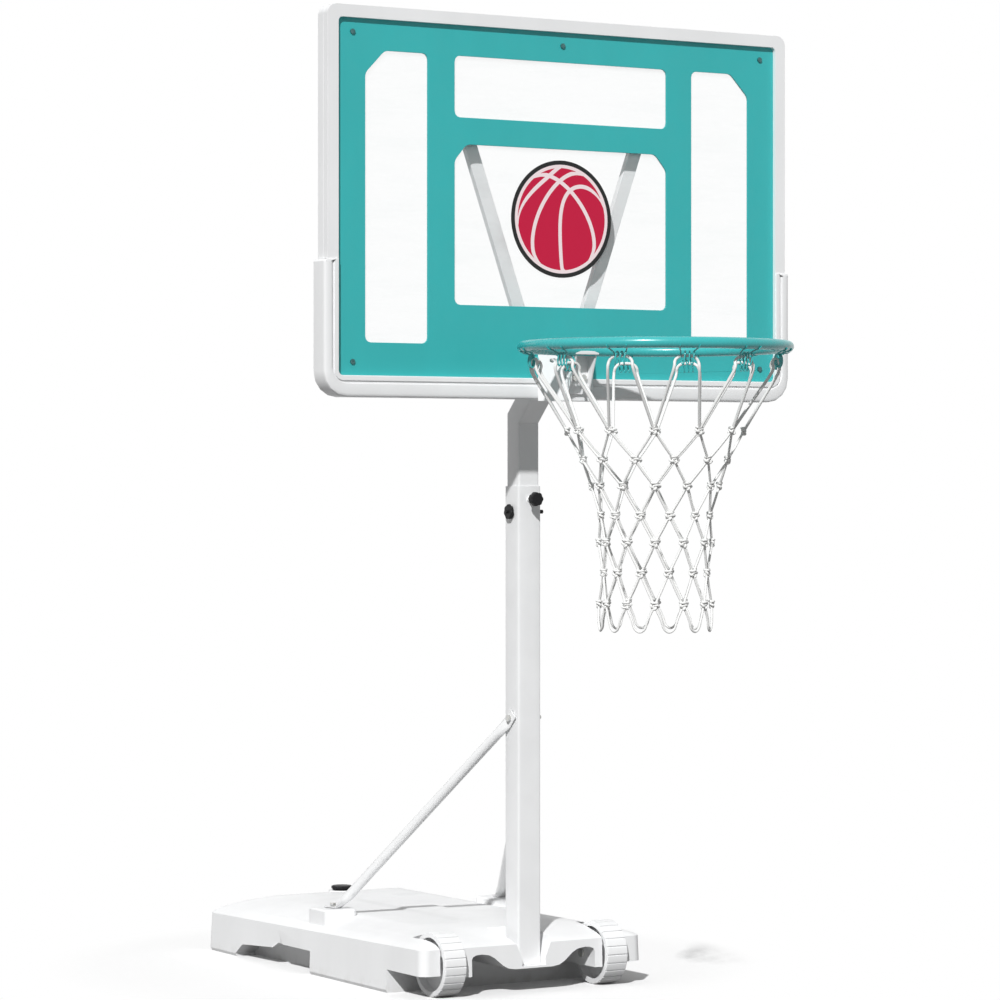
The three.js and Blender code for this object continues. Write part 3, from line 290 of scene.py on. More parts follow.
@dataclass(frozen=True)
class MouldedPlastic(Finish):
    """Moulded plastic: a fine spark-eroded grain, faint flow marks and dust near the floor."""

    roughness: float = 0.5
    dust_share: float = 0.0
    grain: float = 0.04 * MM
    gloss: float = 0.5
    grain_scale: float = 1400.0
    tints: Pair = (0.97, 1.02)
    spread: Pair = (-0.05, 0.07)
    dust: Colour = (0.52, 0.5, 0.46, 1.0)
    dust_height: float = 0.03
    dusty: Patches = Patches(60, 4, 0.4, 0.75)
    flow: Patches = Patches(9, 3, 0.3, 0.7, (1, 1, 0.35))
    rub: Patches = Patches(45, 4, 0.35, 0.75)

    def dress(self, skin: Skin) -> None:
        """Fills in colour, roughness and grain."""
        colour = self.drifting(skin, self.flow, self.tints)
        if self.dust_share:
            height = skin.axes(skin.place())[2]
            cover = height.ramp(self.dust_height, 0.0) * self.dusty.on(skin) * self.dust_share
            colour = skin.mix(cover, colour, self.dust)
        least, most = (self.roughness + part for part in self.spread)
        skin.set(Base_Color=colour, Roughness=self.rub.on(skin).scaled(least, most))
        skin.set(Specular_IOR_Level=self.gloss)
        skin.bump(skin.noise(self.grain_scale), self.grain)


@dataclass(frozen=True)
class PowderCoat(Finish):
    """Powder coat on steel: an even skin with a faint orange peel and worn high spots."""

    roughness: float = 0.32
    wear: float = 0.12
    tints: Pair = (0.975, 1.015)
    coat: Pair = (0.14, 0.03)
    coat_roughness: float = 0.2
    peel: float = 0.006 * MM
    peel_scale: float = 420.0
    drift: Patches = Patches(14, 2, 0.3, 0.7)
    rub: Patches = Patches(120, 5, 0.45, 0.8)

    def dress(self, skin: Skin) -> None:
        """Fills in colour, gloss and peel."""
        colour = self.drifting(skin, self.drift, self.tints)
        rub = self.rub.on(skin)
        rough = rub.scaled(self.roughness, self.roughness + self.wear)
        skin.set(Base_Color=colour, Roughness=rough)
        skin.set(Coat_Weight=rub.scaled(*self.coat), Coat_Roughness=self.coat_roughness)
        skin.bump(skin.noise(self.peel_scale), self.peel)


@dataclass(frozen=True)
class ZincPlate(Finish):
    """Zinc-plated steel, with cloudy passivation and fine machining."""

    cloud_colour: Colour = (0.66, 0.64, 0.58, 1.0)
    clouds: Patches = Patches(260, 4, 0.3, 0.7)
    spread: Pair = (0.26, 0.46)
    fine_scale: float = 1500.0
    fine_share: float = 0.4
    fine_depth: float = 0.02 * MM

    def dress(self, skin: Skin) -> None:
        """Fills in metal, clouds and scratches."""
        cloud = self.clouds.on(skin)
        fine = skin.noise(self.fine_scale)
        skin.set(Base_Color=skin.mix(cloud, self.colour, self.cloud_colour), Metallic=1.0)
        skin.set(Roughness=cloud.blend(fine, self.fine_share).scaled(*self.spread))
        skin.bump(fine, self.fine_depth)


@dataclass(frozen=True)
class ClearSheet(Finish):
    """Clear plastic sheet, nearly unseen but for a cool tint and faint wiping marks."""

    wiped: Patches = Patches(6, 5, 0.35, 0.8, (1, 1, 5))
    spread: Pair = (0.03, 0.12)
    cover: Pair = (0.05, 0.1)

    def dress(self, skin: Skin) -> None:
        """Fills in a thin film that lets the back show."""
        wipe = self.wiped.on(skin)
        skin.set(Base_Color=self.colour, Roughness=wipe.scaled(*self.spread))
        skin.set(Alpha=wipe.scaled(*self.cover))


@dataclass(frozen=True)
class BallPrint(Finish):
    """Round print: a dark ring, a pale ring and a field with a ball's seams in pale lines."""

    ring: Colour
    pale: Colour
    centre_z: float
    radius: float
    ring_share: float = 0.925
    field_share: float = 0.874
    seam_share: float = 0.036
    edge: float = 0.006
    side_pole: Triple = (0.749, -0.4215, 0.5115)
    turn_pole: Triple = (-0.661, -0.529, 0.532)
    bow: Pair = (0.32, 0.57)
    shallowest: float = 0.02
    steepest: float = 2.0
    ink: Patches = Patches(700, 2, 0.3, 0.8)
    tints: Pair = (0.96, 1.0)
    spread: Pair = (0.34, 0.42)
    gloss: float = 0.3

    def seams(self, across: Value, upward: Value) -> Value:
        """Finds the nearest seam on a ball seen from the front.

        Args:
            across: the place across the print, from -1 to 1.
            upward: the place up the print, from -1 to 1.

        Returns:
            The distance to that seam, as a share of the ball's radius.
        """
        depth = (1 - (across * across + upward * upward)).larger(self.shallowest) ** 0.5
        slant = (across / depth, upward / depth)

        def tipped(pole: Triple) -> tuple[Value, list[Value]]:
            """Returns how far a place lies from a pole's equator, and how that changes."""
            slope = [part - lean * pole[2] for part, lean in zip(pole, slant)]
            return across * pole[0] + upward * pole[1] + depth * pole[2], slope

        side, side_slope = tipped(self.side_pole)
        turned, turned_slope = tipped(self.turn_pole)
        start, bend = self.bow
        sign = side.sign()
        bowed = abs(side) - (turned * turned * bend + start)
        bowed_slope = [sign * s - turned * t * (2 * bend) for s, t in zip(side_slope, turned_slope)]
        lines = ((side, side_slope), (turned, turned_slope), (bowed, bowed_slope))
        first, second, third = (
            abs(line) / slope[0].across(slope[1]).smaller(self.steepest) for line, slope in lines
        )
        return first.smaller(second).smaller(third)

    def dress(self, skin: Skin) -> None:
        """Fills in the print's three colours."""
        x, _, z = skin.axes(skin.place())
        across = x / (self.radius * self.field_share)
        upward = (z - self.centre_z) / (self.radius * self.field_share)
        reach = across.across(upward) * self.field_share
        seam = self.seams(across, upward).ramp(self.seam_share + self.edge, self.seam_share)
        pale = seam.larger(reach.ramp(self.field_share - self.edge, self.field_share))
        ink = self.ink.on(skin)
        red = skin.mix(ink, *(tint(self.colour, amount) for amount in self.tints))
        field_colour = skin.mix(pale, red, self.pale)
        dark = reach.ramp(self.ring_share, self.ring_share + self.edge)
        colour = skin.mix(dark, field_colour, self.ring)
        skin.set(Base_Color=colour, Roughness=ink.scaled(*self.spread))
        skin.set(Specular_IOR_Level=self.gloss)


@dataclass(frozen=True)
class BraidedCord(Finish):
    """Braided cord: two sets of crossing plaits, counted round and along the cord."""

    plaits: int = 6
    pitch: float = 9.0 * MM
    groove_rise: float = 0.5
    # painted shade: how much darker the grooves between the plaits are painted
    groove_shade_tint: float = 0.93
    fuzz_scale: float = 900.0
    fuzz_detail: float = 3.0
    fuzz_rough_share: float = 0.5
    fuzz_bump_share: float = 0.1
    spread: Pair = (0.95, 0.8)
    relief: float = 0.12 * MM
    relief_strength: float = 0.5

    def dress(self, skin: Skin) -> None:
        """Fills in colour, with painted shade in the grooves between plaits, and the plaits' relief
        from the cord's own round and long places.
        """
        around, along, _ = skin.axes(skin.node("TexCoord", result="UV"))
        turn = around * (TAU * self.plaits / 2)
        travel = along * (TAU / self.pitch)
        plait = abs((turn + travel).sine()).smaller(abs((turn - travel).sine()))
        groove = plait.ramp(0.0, self.groove_rise)
        fuzz = skin.noise(self.fuzz_scale, self.fuzz_detail)
        rough = groove.blend(fuzz, self.fuzz_rough_share).scaled(*self.spread)
        # painted shade: the cord's colour is darkened in the grooves between the plaits
        colour = skin.mix(groove, tint(self.colour, self.groove_shade_tint), self.colour)
        skin.set(Base_Color=colour, Roughness=rough)
        skin.bump(groove.blend(fuzz, self.fuzz_bump_share), self.relief, self.relief_strength)


WHITE = MouldedPlastic("white_moulding", (0.86, 0.865, 0.87, 1), Slot.WHITE_PLASTIC, 0.46, 0.25)
WHITE_COAT = PowderCoat("white_powder_coat", (0.85, 0.855, 0.86, 1), Slot.WHITE_PAINT, 0.3)
TEAL = MouldedPlastic("teal_moulding", (0.035, 0.44, 0.445, 1), Slot.TEAL_PLASTIC, 0.42)
TEAL_COAT = PowderCoat("teal_powder_coat", (0.03, 0.42, 0.425, 1), Slot.TEAL_PAINT, 0.26)
BLACK = MouldedPlastic(
    "black_moulding", (0.006, 0.006, 0.007, 1), Slot.BLACK_PLASTIC, grain=0.06 * MM, gloss=0.22
)
ZINC = ZincPlate("zinc_plate", (0.58, 0.6, 0.62, 1), Slot.ZINC)
DARK_ZINC = ZincPlate("dark_zinc_plate", (0.05, 0.13, 0.13, 1), Slot.ZINC, (0.09, 0.2, 0.2, 1))
CLEAR = ClearSheet("clear_sheet_film", (0.86, 0.94, 0.94, 1), Slot.CLEAR)
CORD = BraidedCord("net_braid", (0.86, 0.86, 0.85, 1), Slot.CORD)
PRINT = BallPrint(
    "ball_ink",
    (0.575, 0.008, 0.052, 1),
    Slot.RED_PRINT,
    ring=(0.008, 0.009, 0.009, 1),
    pale=(0.93, 0.78, 0.8, 1),
    centre_z=1436 * MM,
    radius=108 * MM,
)


@functools.cache
def material_of(finish: Finish) -> bpy.types.Material:
    """Returns a finish's material, which is built the first time that it is asked for."""
    skin = Skin(finish.name)
    finish.dress(skin)
    return skin.material


# Meshes


def new_object(name: str, data: bpy.types.ID) -> Piece:
    """Links a mesh, lamp or camera to the scene as an object."""
    piece = bpy.data.objects.new(name, data)
    bpy.context.scene.collection.objects.link(piece)
    return piece


def from_bmesh(name: str, bm: bmesh.types.BMesh) -> Piece:
    """Turns a bmesh into an object and frees it."""
    mesh = bpy.data.meshes.new(name)
    bm.normal_update()
    bm.to_mesh(mesh)
    bm.free()
    return new_object(name, mesh)


def settle(piece: Piece) -> None:
    """Applies a piece's modifiers to its mesh."""
    graph = bpy.context.evaluated_depsgraph_get()
    graph.update()
    made = bpy.data.meshes.new_from_object(piece.evaluated_get(graph))
    old = piece.data
    piece.modifiers.clear()
    piece.data = made
    made.name = piece.name
    bpy.data.meshes.remove(old)


def split_large_faces(piece: Piece) -> None:
    """Cuts faces of more than four corners into well-shaped triangles."""
    bm = bmesh.new()
    bm.from_mesh(piece.data)
    large = [face for face in bm.faces if len(face.verts) > 4]
    bmesh.ops.triangulate(bm, faces=large, ngon_method="BEAUTY")
    bm.to_mesh(piece.data)
    bm.free()


def shade(piece: Piece, sharp_turn: float) -> None:
    """Shades a piece's faces smoothly, up to the edges that turn by more than an angle."""
    for polygon in piece.data.polygons:
        polygon.use_smooth = True
    piece.data.set_sharp_from_angle(angle=sharp_turn)


def soften(piece: Piece, width: float, segments: int = 2) -> None:
    """Rounds a piece's edges and shades its faces smoothly.

    Args:
        piece: the object to round.
        width: the rounding's width, or 0 for none.
        segments: how many faces each rounding takes.
    """
    if width:
        bevel = piece.modifiers.new("round", "BEVEL")
        bevel.width = width
        bevel.segments = segments
        bevel.limit_method = "ANGLE"
        bevel.angle_limit = ROUNDED_TURN
        bevel.miter_outer = "MITER_ARC"
        settle(piece)
    split_large_faces(piece)
    shade(piece, SHARP_TURN)
    weighted = piece.modifiers.new("flat_faces", "WEIGHTED_NORMAL")
    weighted.keep_sharp = True
    weighted.weight = FLAT_FACE_WEIGHT


def cad_copy(node: str, name: str, whole: bool = True) -> Piece:
    """Returns a new object with a CAD node's form, its flat faces made whole if that is asked."""
    bm = bmesh.new()
    bm.from_mesh(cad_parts[node].data)
    bmesh.ops.remove_doubles(bm, verts=bm.verts, dist=WELD_REACH)
    if whole:
        parts = {"verts": bm.verts, "edges": bm.edges}
        bmesh.ops.dissolve_limit(
            bm, angle_limit=FLAT_TURN, use_dissolve_boundaries=False, **parts
        )
    return from_bmesh(name, bm)


def smooth_path(points: Sequence[Vector], steps: int) -> list[Vector]:
    """Returns a smooth curve through points, with a number of steps for each span."""
    last = len(points) - 1
    path = []
    for i in range(last):
        a, b, c, d = (points[min(max(k, 0), last)] for k in range(i - 1, i + 3))
        for step in range(steps):
            t = step / steps
            bend = (2 * a - 5 * b + 4 * c - d) * t * t + (3 * b - 3 * c + d - a) * t**3
            path.append(0.5 * (2 * b + (c - a) * t + bend))
    return [*path, points[-1].copy()]


@dataclass
class Tubing:
    """Gathers tubes into one mesh that knows its places round and along each tube."""

    sides: int = 10
    bm: bmesh.types.BMesh = field(default_factory=bmesh.new)

    def add(self, path: Sequence[Vector], radius: float, closed: bool = False) -> None:
        """Adds one tube along a path.

        Args:
            path: the centre line's points.
            radius: the tube's radius.
            closed: whether the path's end joins its start.
        """
        uv = self.bm.loops.layers.uv.verify()
        count = len(path)

        def at(i: int) -> Vector:
            """Returns a point, going round a closed path and staying on an open one."""
            return path[i % count if closed else min(max(i, 0), count - 1)]

        normal = (at(1) - at(-1)).normalized().orthogonal().normalized()
        rings, lengths = [], [0.0]
        for i, point in enumerate(path):
            along = (at(i + 1) - at(i - 1)).normalized()
            normal = (normal - along * normal.dot(along)).normalized()
            binormal = along.cross(normal)
            ring = []
            for k in range(self.sides):
                angle = TAU * k / self.sides
                out = normal * math.cos(angle) + binormal * math.sin(angle)
                ring.append(self.bm.verts.new(point + out * radius))
            rings.append(ring)
            lengths.append(lengths[-1] + (at(i + 1) - point).length)
        for i in range(count if closed else count - 1):
            low, high = rings[i], rings[(i + 1) % count]
            shift = self.twist(low, high) if closed and i == count - 1 else 0
            for k in range(self.sides):
                j = (k + 1) % self.sides
                after, before = (j + shift) % self.sides, (k + shift) % self.sides
                face = self.bm.faces.new((low[k], low[j], high[after], high[before]))
                places = ((k, i), (k + 1, i), (k + 1, i + 1), (k, i + 1))
                for loop, (turn, row) in zip(face.loops, places):
                    loop[uv].uv = (turn / self.sides, lengths[row])
        if not closed:
            self.bm.faces.new(reversed(rings[0]))
            self.bm.faces.new(rings[-1])

    def twist(self, low: list[Any], high: list[Any]) -> int:
        """Returns how far the last ring must turn to meet the first."""
        return min(range(self.sides), key=lambda s: (low[0].co - high[s].co).length)

    def finish(self, name: str) -> Piece:
        """Returns the tubes as one smooth object."""
        piece = from_bmesh(name, self.bm)
        shade(piece, TUBE_SHARP_TURN)
        return piece


def prism(name: str, outline: Sequence[Pair], axes: str, low: float, high: float) -> Piece:
    """Makes a solid between two copies of a flat outline.

    Args:
        name: the new object's name.
        outline: the outline's points.
        axes: the two axes that the points are given along, such as "xz".
        low: the first copy's place along the third axis.
        high: the second copy's place.

    Returns:
        The solid.
    """
    first, second = ("xyz".index(axis) for axis in axes)
    bm = bmesh.new()
    ends = []
    for depth in (low, high):
        ends.append([])
        for point in outline:
            place = [depth] * 3
            place[first], place[second] = point
            ends[-1].append(bm.verts.new(place))
    bm.faces.new(ends[0])
    bm.faces.new(reversed(ends[1]))
    count = len(outline)
    for i in range(count):
        j = (i + 1) % count
        bm.faces.new((ends[0][i], ends[1][i], ends[1][j], ends[0][j]))
    bmesh.ops.recalc_face_normals(bm, faces=bm.faces)
    return from_bmesh(name, bm)


def merge(name: str, pieces: list[Piece]) -> Piece:
    """Gathers pieces of one body and finish into one object."""
    bm = bmesh.new()
    for piece in pieces:
        if piece.modifiers:
            settle(piece)
        bm.from_mesh(piece.data)
        bpy.data.objects.remove(piece)
    return from_bmesh(name, bm)


def fit(piece: Piece, body: Body, finish: Finish, *replaced: str) -> None:
    """Puts a finished piece on its body.

    Args:
        piece: the object.
        body: the body that it rides on.
        finish: its finish, whose material it takes; the finish also holds the record's slot.
        replaced: the CAD nodes that it stands for.
    """
    piece.data.materials.clear()
    piece.data.materials.append(material_of(finish))
    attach(piece, body.value)
    if replaced:
        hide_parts(*replaced)
    LOG.info("%s on %s, %d faces", piece.name, body.value, len(piece.data.polygons))


@dataclass(frozen=True)
class Cover:
    """CAD nodes that are replaced by their own form with rounded edges."""

    body: Body
    finish: Finish
    width: float
    nodes: tuple[str, ...]
    segments: int = 2
    whole: bool = True

    def build(self) -> None:
        """Builds one piece for each node."""
        for node in self.nodes:
            piece = cad_copy(node, f"{node}_form", self.whole)
            soften(piece, self.width, self.segments)
            fit(piece, self.body, self.finish, node)


def each(stem: str, *ends: str) -> tuple[str, ...]:
    """Returns a stem with each of its ends, which are the two sides if none is given."""
    return tuple(f"{stem}_{end}" for end in ends or SIDES)


CORNERS = ("high_left", "high_right", "low_left", "low_right")
CHAMFER = 0.5 * MM
MAST_FASTENERS = each("arm_screw") + each("rim_bolt") + each("rim_nut")
MAST_FASTENERS += each("head_bolt", "low", "high") + each("head_nut", "low", "high")
MAST_FASTENERS += each("bracket_bolt", *CORNERS) + each("bracket_nut", *CORNERS)
BASE_FASTENERS = each("strut", "bolt", "nut") + each("foot", "bolt", "nut")
BASE_FASTENERS += each("strut_foot_screw") + each("axle")
COVERS = (
    # Base
    Cover(Body.BASE, WHITE, 2.6 * MM, ("base_tank",), 3),
    Cover(Body.CAP_SEAL, BLACK, 0.4 * MM, ("filler_gasket",)),
    Cover(Body.CAP, BLACK, 0.7 * MM, ("filler_cap",)),
    # Poles, struts, knobs and lock bolt
    Cover(Body.MAST, WHITE_COAT, 0.9 * MM, ("upper_pole",)),
    Cover(Body.MAST, BLACK, 0.9 * MM, ("pole_cap",)),
    Cover(Body.BASE, WHITE_COAT, 0.6 * MM, ("lower_pole", "clamp_nut", "lock_nut")),
    Cover(Body.BASE, WHITE_COAT, 0, each("strut"), 1, False),
    Cover(Body.CLAMP_HANDLE, BLACK, 0.9 * MM, ("clamp_knob",)),
    Cover(Body.LOCK_PIN, BLACK, 0.5 * MM, ("lock_bolt",)),
    Cover(Body.LOCK_HANDLE, BLACK, 0.9 * MM, ("lock_knob",)),
    # Board
    Cover(Body.MAST, WHITE, 2.2 * MM, ("front_frame",), 3, False),
    Cover(Body.MAST, WHITE, 2.2 * MM, ("rear_frame",), 2, False),
    Cover(Body.MAST, TEAL, 0.7 * MM, ("lattice_panel",), 2, False),
    Cover(Body.MAST, CLEAR, 0, ("clear_sheet",)),
    # Arms and brackets
    Cover(Body.MAST, WHITE_COAT, 1.5 * MM, each("arm")),
    Cover(Body.MAST, WHITE_COAT, 1.2 * MM, ("head_bracket", "rim_bracket"), 2, False),
    # Fasteners
    Cover(Body.MAST, DARK_ZINC, CHAMFER, each("panel_screw", *CORNERS, "high_middle"), 1),
    Cover(Body.MAST, ZINC, CHAMFER, MAST_FASTENERS, 1),
    Cover(Body.BASE, ZINC, CHAMFER, BASE_FASTENERS, 1),
    Cover(Body.CLAMP_SCREW, ZINC, CHAMFER, ("clamp_stud",), 1),
)


# Sub-assemblies that are built anew


@dataclass
class Trough:
    """A U-shaped outline round the board's lower half, given by its width, foot and corners."""

    half: float
    low: float
    corner: float

    def outward(self, x: float, z: float) -> tuple[float, Vector]:
        """Returns how far a place lies outside the outline, below zero inside, and the way out."""
        over, under = abs(x) - (self.half - self.corner), (self.low + self.corner) - z
        if over > 0 and under > 0:
            away = math.hypot(over, under)
            way = Vector((math.copysign(over, x) / away, 0, -under / away))
            return away - self.corner, way
        if over > under:
            return over - self.corner, Vector((math.copysign(1, x), 0, 0))
        return under - self.corner, Vector((0, 0, -1))

    def points(self, top: float, steps: int) -> list[Pair]:
        """Returns the outline's points, down its left side, round its corners and up its right."""
        centre_x, centre_z = -self.half + self.corner, self.low + self.corner
        turn = [math.radians(90 * i / steps) for i in range(steps + 1)]
        left = [
            (centre_x - self.corner * math.cos(a), centre_z - self.corner * math.sin(a))
            for a in turn
        ]
        right = [(-x, z) for x, z in reversed(left)]
        return [(-self.half, top), *left, *right, (self.half, top)]


@dataclass
class Board:
    """The board's bumper, the bead round its opening and its round print."""

    board_front: float = 149 * MM
    opening_half: float = 471.6 * MM
    opening_low: float = 1142 * MM
    bumper_front: float = 152 * MM
    bumper_top: float = 1349 * MM
    bumper_round: float = 1 * MM
    bumper_edge: Trough = field(default_factory=lambda: Trough(502.1 * MM, 1103.5 * MM, 45 * MM))
    flange_inset: float = 4 * MM
    flange_corner: float = 10 * MM
    flange_cut: float = 9.5 * MM
    flange_step: float = 1 * MM
    edge_small: float = 2.5 * MM
    edge_large: float = 6.5 * MM
    edge_slack: float = 0.1 * MM
    bead_insets: Pair = (0.8 * MM, 9.5 * MM)
    bead_corner: float = 9 * MM
    bead_round: float = 0.7 * MM
    bead_steps: int = 8
    bead_sunk: float = 0.4 * MM
    bead_proud: float = 2.4 * MM
    print_facets: int = 160

    def build(self) -> None:
        """Builds the board's pieces."""
        self.bumper()
        self.bead()
        self.round_print()

    def around_opening(self, inset: float, corner: float) -> Trough:
        """Returns the outline that lies an inset outside the lower opening."""
        return Trough(self.opening_half + inset, self.opening_low - inset, corner)

    def bumper(self) -> None:
        """Builds the bumper with a narrower front flange and a well-rounded outer edge."""
        piece = cad_copy("bumper", "bumper_form")
        soften(piece, self.bumper_round)
        inner = self.around_opening(self.flange_inset, self.flange_corner)
        flange = self.edge_small + self.flange_step
        front = POLE_Y - self.bumper_front
        grown = self.edge_large / self.edge_small - 1
        small = self.edge_small + self.edge_slack
        for vertex in piece.data.vertices:
            place = vertex.co.copy()
            inset, way = inner.outward(place.x, place.z)
            if place.y <= POLE_Y - self.board_front and inset < flange:
                vertex.co = place = place + way * self.flange_cut
            gap, way = self.bumper_edge.outward(place.x, place.z)
            depth = place.y - front
            if -small < gap and depth < small:
                vertex.co = place + way * gap * grown + Vector((0, depth * grown, 0))
        fit(piece, Body.MAST, WHITE, "bumper")

    def bead(self) -> None:
        """Builds the low bead round the opening that the bumper ends beside."""
        edges = [self.around_opening(inset, self.bead_corner + inset) for inset in self.bead_insets]
        inner, outer = (edge.points(self.bumper_top, self.bead_steps) for edge in edges)
        back = POLE_Y - (self.board_front - self.bead_sunk)
        front = POLE_Y - (self.board_front + self.bead_proud)
        piece = prism("frame_bead", [*inner, *reversed(outer)], "xz", back, front)
        soften(piece, self.bead_round, 3)
        fit(piece, Body.MAST, WHITE)

    def round_print(self) -> None:
        """Builds the print as a finely round disc where the CAD disc lies."""
        low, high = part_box("ball_print")
        circle = [TAU * i / self.print_facets for i in range(self.print_facets)]
        radius, centre_z = PRINT.radius, PRINT.centre_z
        outline = [(radius * math.cos(a), centre_z + radius * math.sin(a)) for a in circle]
        piece = prism("ball_print_disc", outline, "xz", low.y, high.y)
        soften(piece, 0)
        fit(piece, Body.MAST, PRINT, "ball_print")


@dataclass
class Rim:
    """The ring with its plate, tongue and gussets, and the wire hooks under it."""

    centre: Vector = field(default_factory=lambda: Vector((0, POLE_Y - 453 * MM, 1191 * MM)))
    radius: float = 235 * MM
    tube: float = 9.75 * MM
    ring_steps: int = 192
    ring_sides: int = 28
    plate_half: float = 25 * MM
    plate_back: float = 192.3 * MM
    plate_thick: float = 5 * MM
    plate_low: float = 1112 * MM
    plate_round: float = 1.2 * MM
    tongue_low: float = 1184 * MM
    tongue_long: float = 36 * MM
    gusset_x: float = 19 * MM
    gusset_thick: float = 4 * MM
    gusset_rise: float = 6 * MM
    gusset_round: float = 0.8 * MM
    weld: float = 3.2 * MM
    weld_inset: float = 3 * MM
    weld_steps: int = 40
    weld_ripple: float = 0.5 * MM
    weld_pulse: float = 2.1
    hook_count: int = 12
    hook_twist: float = math.radians(-4)
    wire: float = 1.3 * MM
    wire_sides: int = 8
    wire_steps: int = 2
    coil_half: float = 12 * MM
    coil_turns: int = 3
    coil_steps: int = 22
    coil_radius: float = 224 * MM
    coil_wide: float = 4.6 * MM
    coil_tall: float = 11.5 * MM
    coil_z: float = 1164.5 * MM
    grip_aside: float = 17.5 * MM
    grip_lift: float = 0.4
    grip_degrees: tuple[float, ...] = (-28, -45, -62, -80, -98)
    pinch: float = 1.5 * MM
    pinch_degrees: float = -60

    def point(self, angle: float, reach: float, aside: float, z: float) -> Vector:
        """Returns a place by its angle and distance from the ring's axis, moved sideways."""
        out, side = self.ways(angle)
        return Vector((self.centre.x, self.centre.y, z)) + out * reach + side * aside

    def ways(self, angle: float) -> tuple[Vector, Vector]:
        """Returns the ways outward and sideways at an angle round the ring's axis."""
        out = Vector((math.cos(angle), math.sin(angle), 0))
        return out, Vector((-out.y, out.x, 0))

    def turned(self, k: float) -> float:
        """Returns the angle of a place that lies k groups of hooks round the ring."""
        return -TAU / 4 + self.hook_twist + TAU / self.hook_count * k

    def hook_angles(self) -> list[float]:
        """Returns the middle angle of each group of hooks."""
        return [self.turned(k + 0.5) for k in range(self.hook_count)]

    def build(self) -> None:
        """Builds the ring with its plates, and the hooks."""
        ring = Tubing(self.ring_sides)
        turn = [TAU * i / self.ring_steps for i in range(self.ring_steps)]
        ring.add([self.point(a, self.radius, 0, self.centre.z) for a in turn], self.tube, True)
        fit(ring.finish("rim_ring"), Body.MAST, TEAL_COAT, "rim")
        fit(self.plates(), Body.MAST, WHITE_COAT)
        fit(self.weld_beads(), Body.MAST, WHITE_COAT)
        fit(self.hooks(), Body.MAST, TEAL_COAT)

    def plates(self) -> Piece:
        """Returns the bolted back plate, the tongue under the ring and the two gussets."""
        half, low, high = self.plate_half, self.plate_low, self.centre.z
        back = POLE_Y - self.plate_back
        tip = back - self.tongue_long
        plate = [(-half, low), (half, low), (half, high), (-half, high)]
        tongue = [(-half, back), (half, back), (half, tip), (-half, tip)]
        pieces = [
            prism("plate", plate, "xz", back - self.plate_thick, back),
            prism("tongue", tongue, "xy", self.tongue_low, high),
        ]
        for piece in pieces:
            soften(piece, self.plate_round, 3)
        start, end = back - self.plate_thick / 2, tip + self.gusset_thick
        foot = low + self.gusset_rise
        gusset = [(start, foot), (start, high), (end, high), (end, self.tongue_low)]
        gusset.append((start - self.plate_thick, foot))
        for side in (-1, 1):
            faces = sorted(side * x for x in (self.gusset_x, self.gusset_x + self.gusset_thick))
            pieces.append(prism("gusset", gusset, "yz", *faces))
            soften(pieces[-1], self.gusset_round)
        whole = merge("rim_plates", pieces)
        soften(whole, 0)
        return whole

    def weld_beads(self) -> Piece:
        """Returns the weld beads where the tongue meets the ring and the plate."""
        beads = Tubing(self.wire_sides)
        front = POLE_Y - (self.plate_back + self.plate_thick)
        half = self.plate_half - self.weld_inset
        for z in (self.tongue_low, self.centre.z):
            path = []
            for i in range(self.weld_steps + 1):
                ripple = self.weld_ripple * math.sin(i * self.weld_pulse)
                x = -half + 2 * half * i / self.weld_steps
                path.append(Vector((x, front + ripple, z + ripple / 2)))
            beads.add(path, self.weld / 2)
        return beads.finish("rim_welds")

    def hooks(self) -> Piece:
        """Returns the wire hooks: a coil in each group, its ends welded up the ring's face."""
        wires = Tubing(self.wire_sides)
        steps = self.coil_steps * self.coil_turns
        for angle in self.hook_angles():
            path = self.end_grip(angle, -1)
            for i in range(steps + 1):
                phase = TAU * self.coil_turns * i / steps + TAU / 4
                aside = -self.coil_half + 2 * self.coil_half * i / steps
                reach = self.coil_radius + self.coil_wide * math.cos(phase)
                z = self.coil_z + self.coil_tall * math.sin(phase)
                path.append(self.point(angle, reach, aside, z))
            path.extend(reversed(self.end_grip(angle, 1)))
            wires.add(smooth_path(path, self.wire_steps), self.wire)
        return wires.finish("net_hooks")

    def end_grip(self, angle: float, side: int) -> list[Vector]:
        """Returns the wire's end, from the ring's outer face down and under it."""
        reach = self.tube + self.wire * self.grip_lift
        places = []
        for degrees in self.grip_degrees:
            bend = math.radians(degrees)
            aside = self.grip_aside - self.pinch * (degrees < self.pinch_degrees)
            out, z = self.radius + reach * math.cos(bend), self.centre.z + reach * math.sin(bend)
            places.append(self.point(angle, out, side * aside, z))
        return places


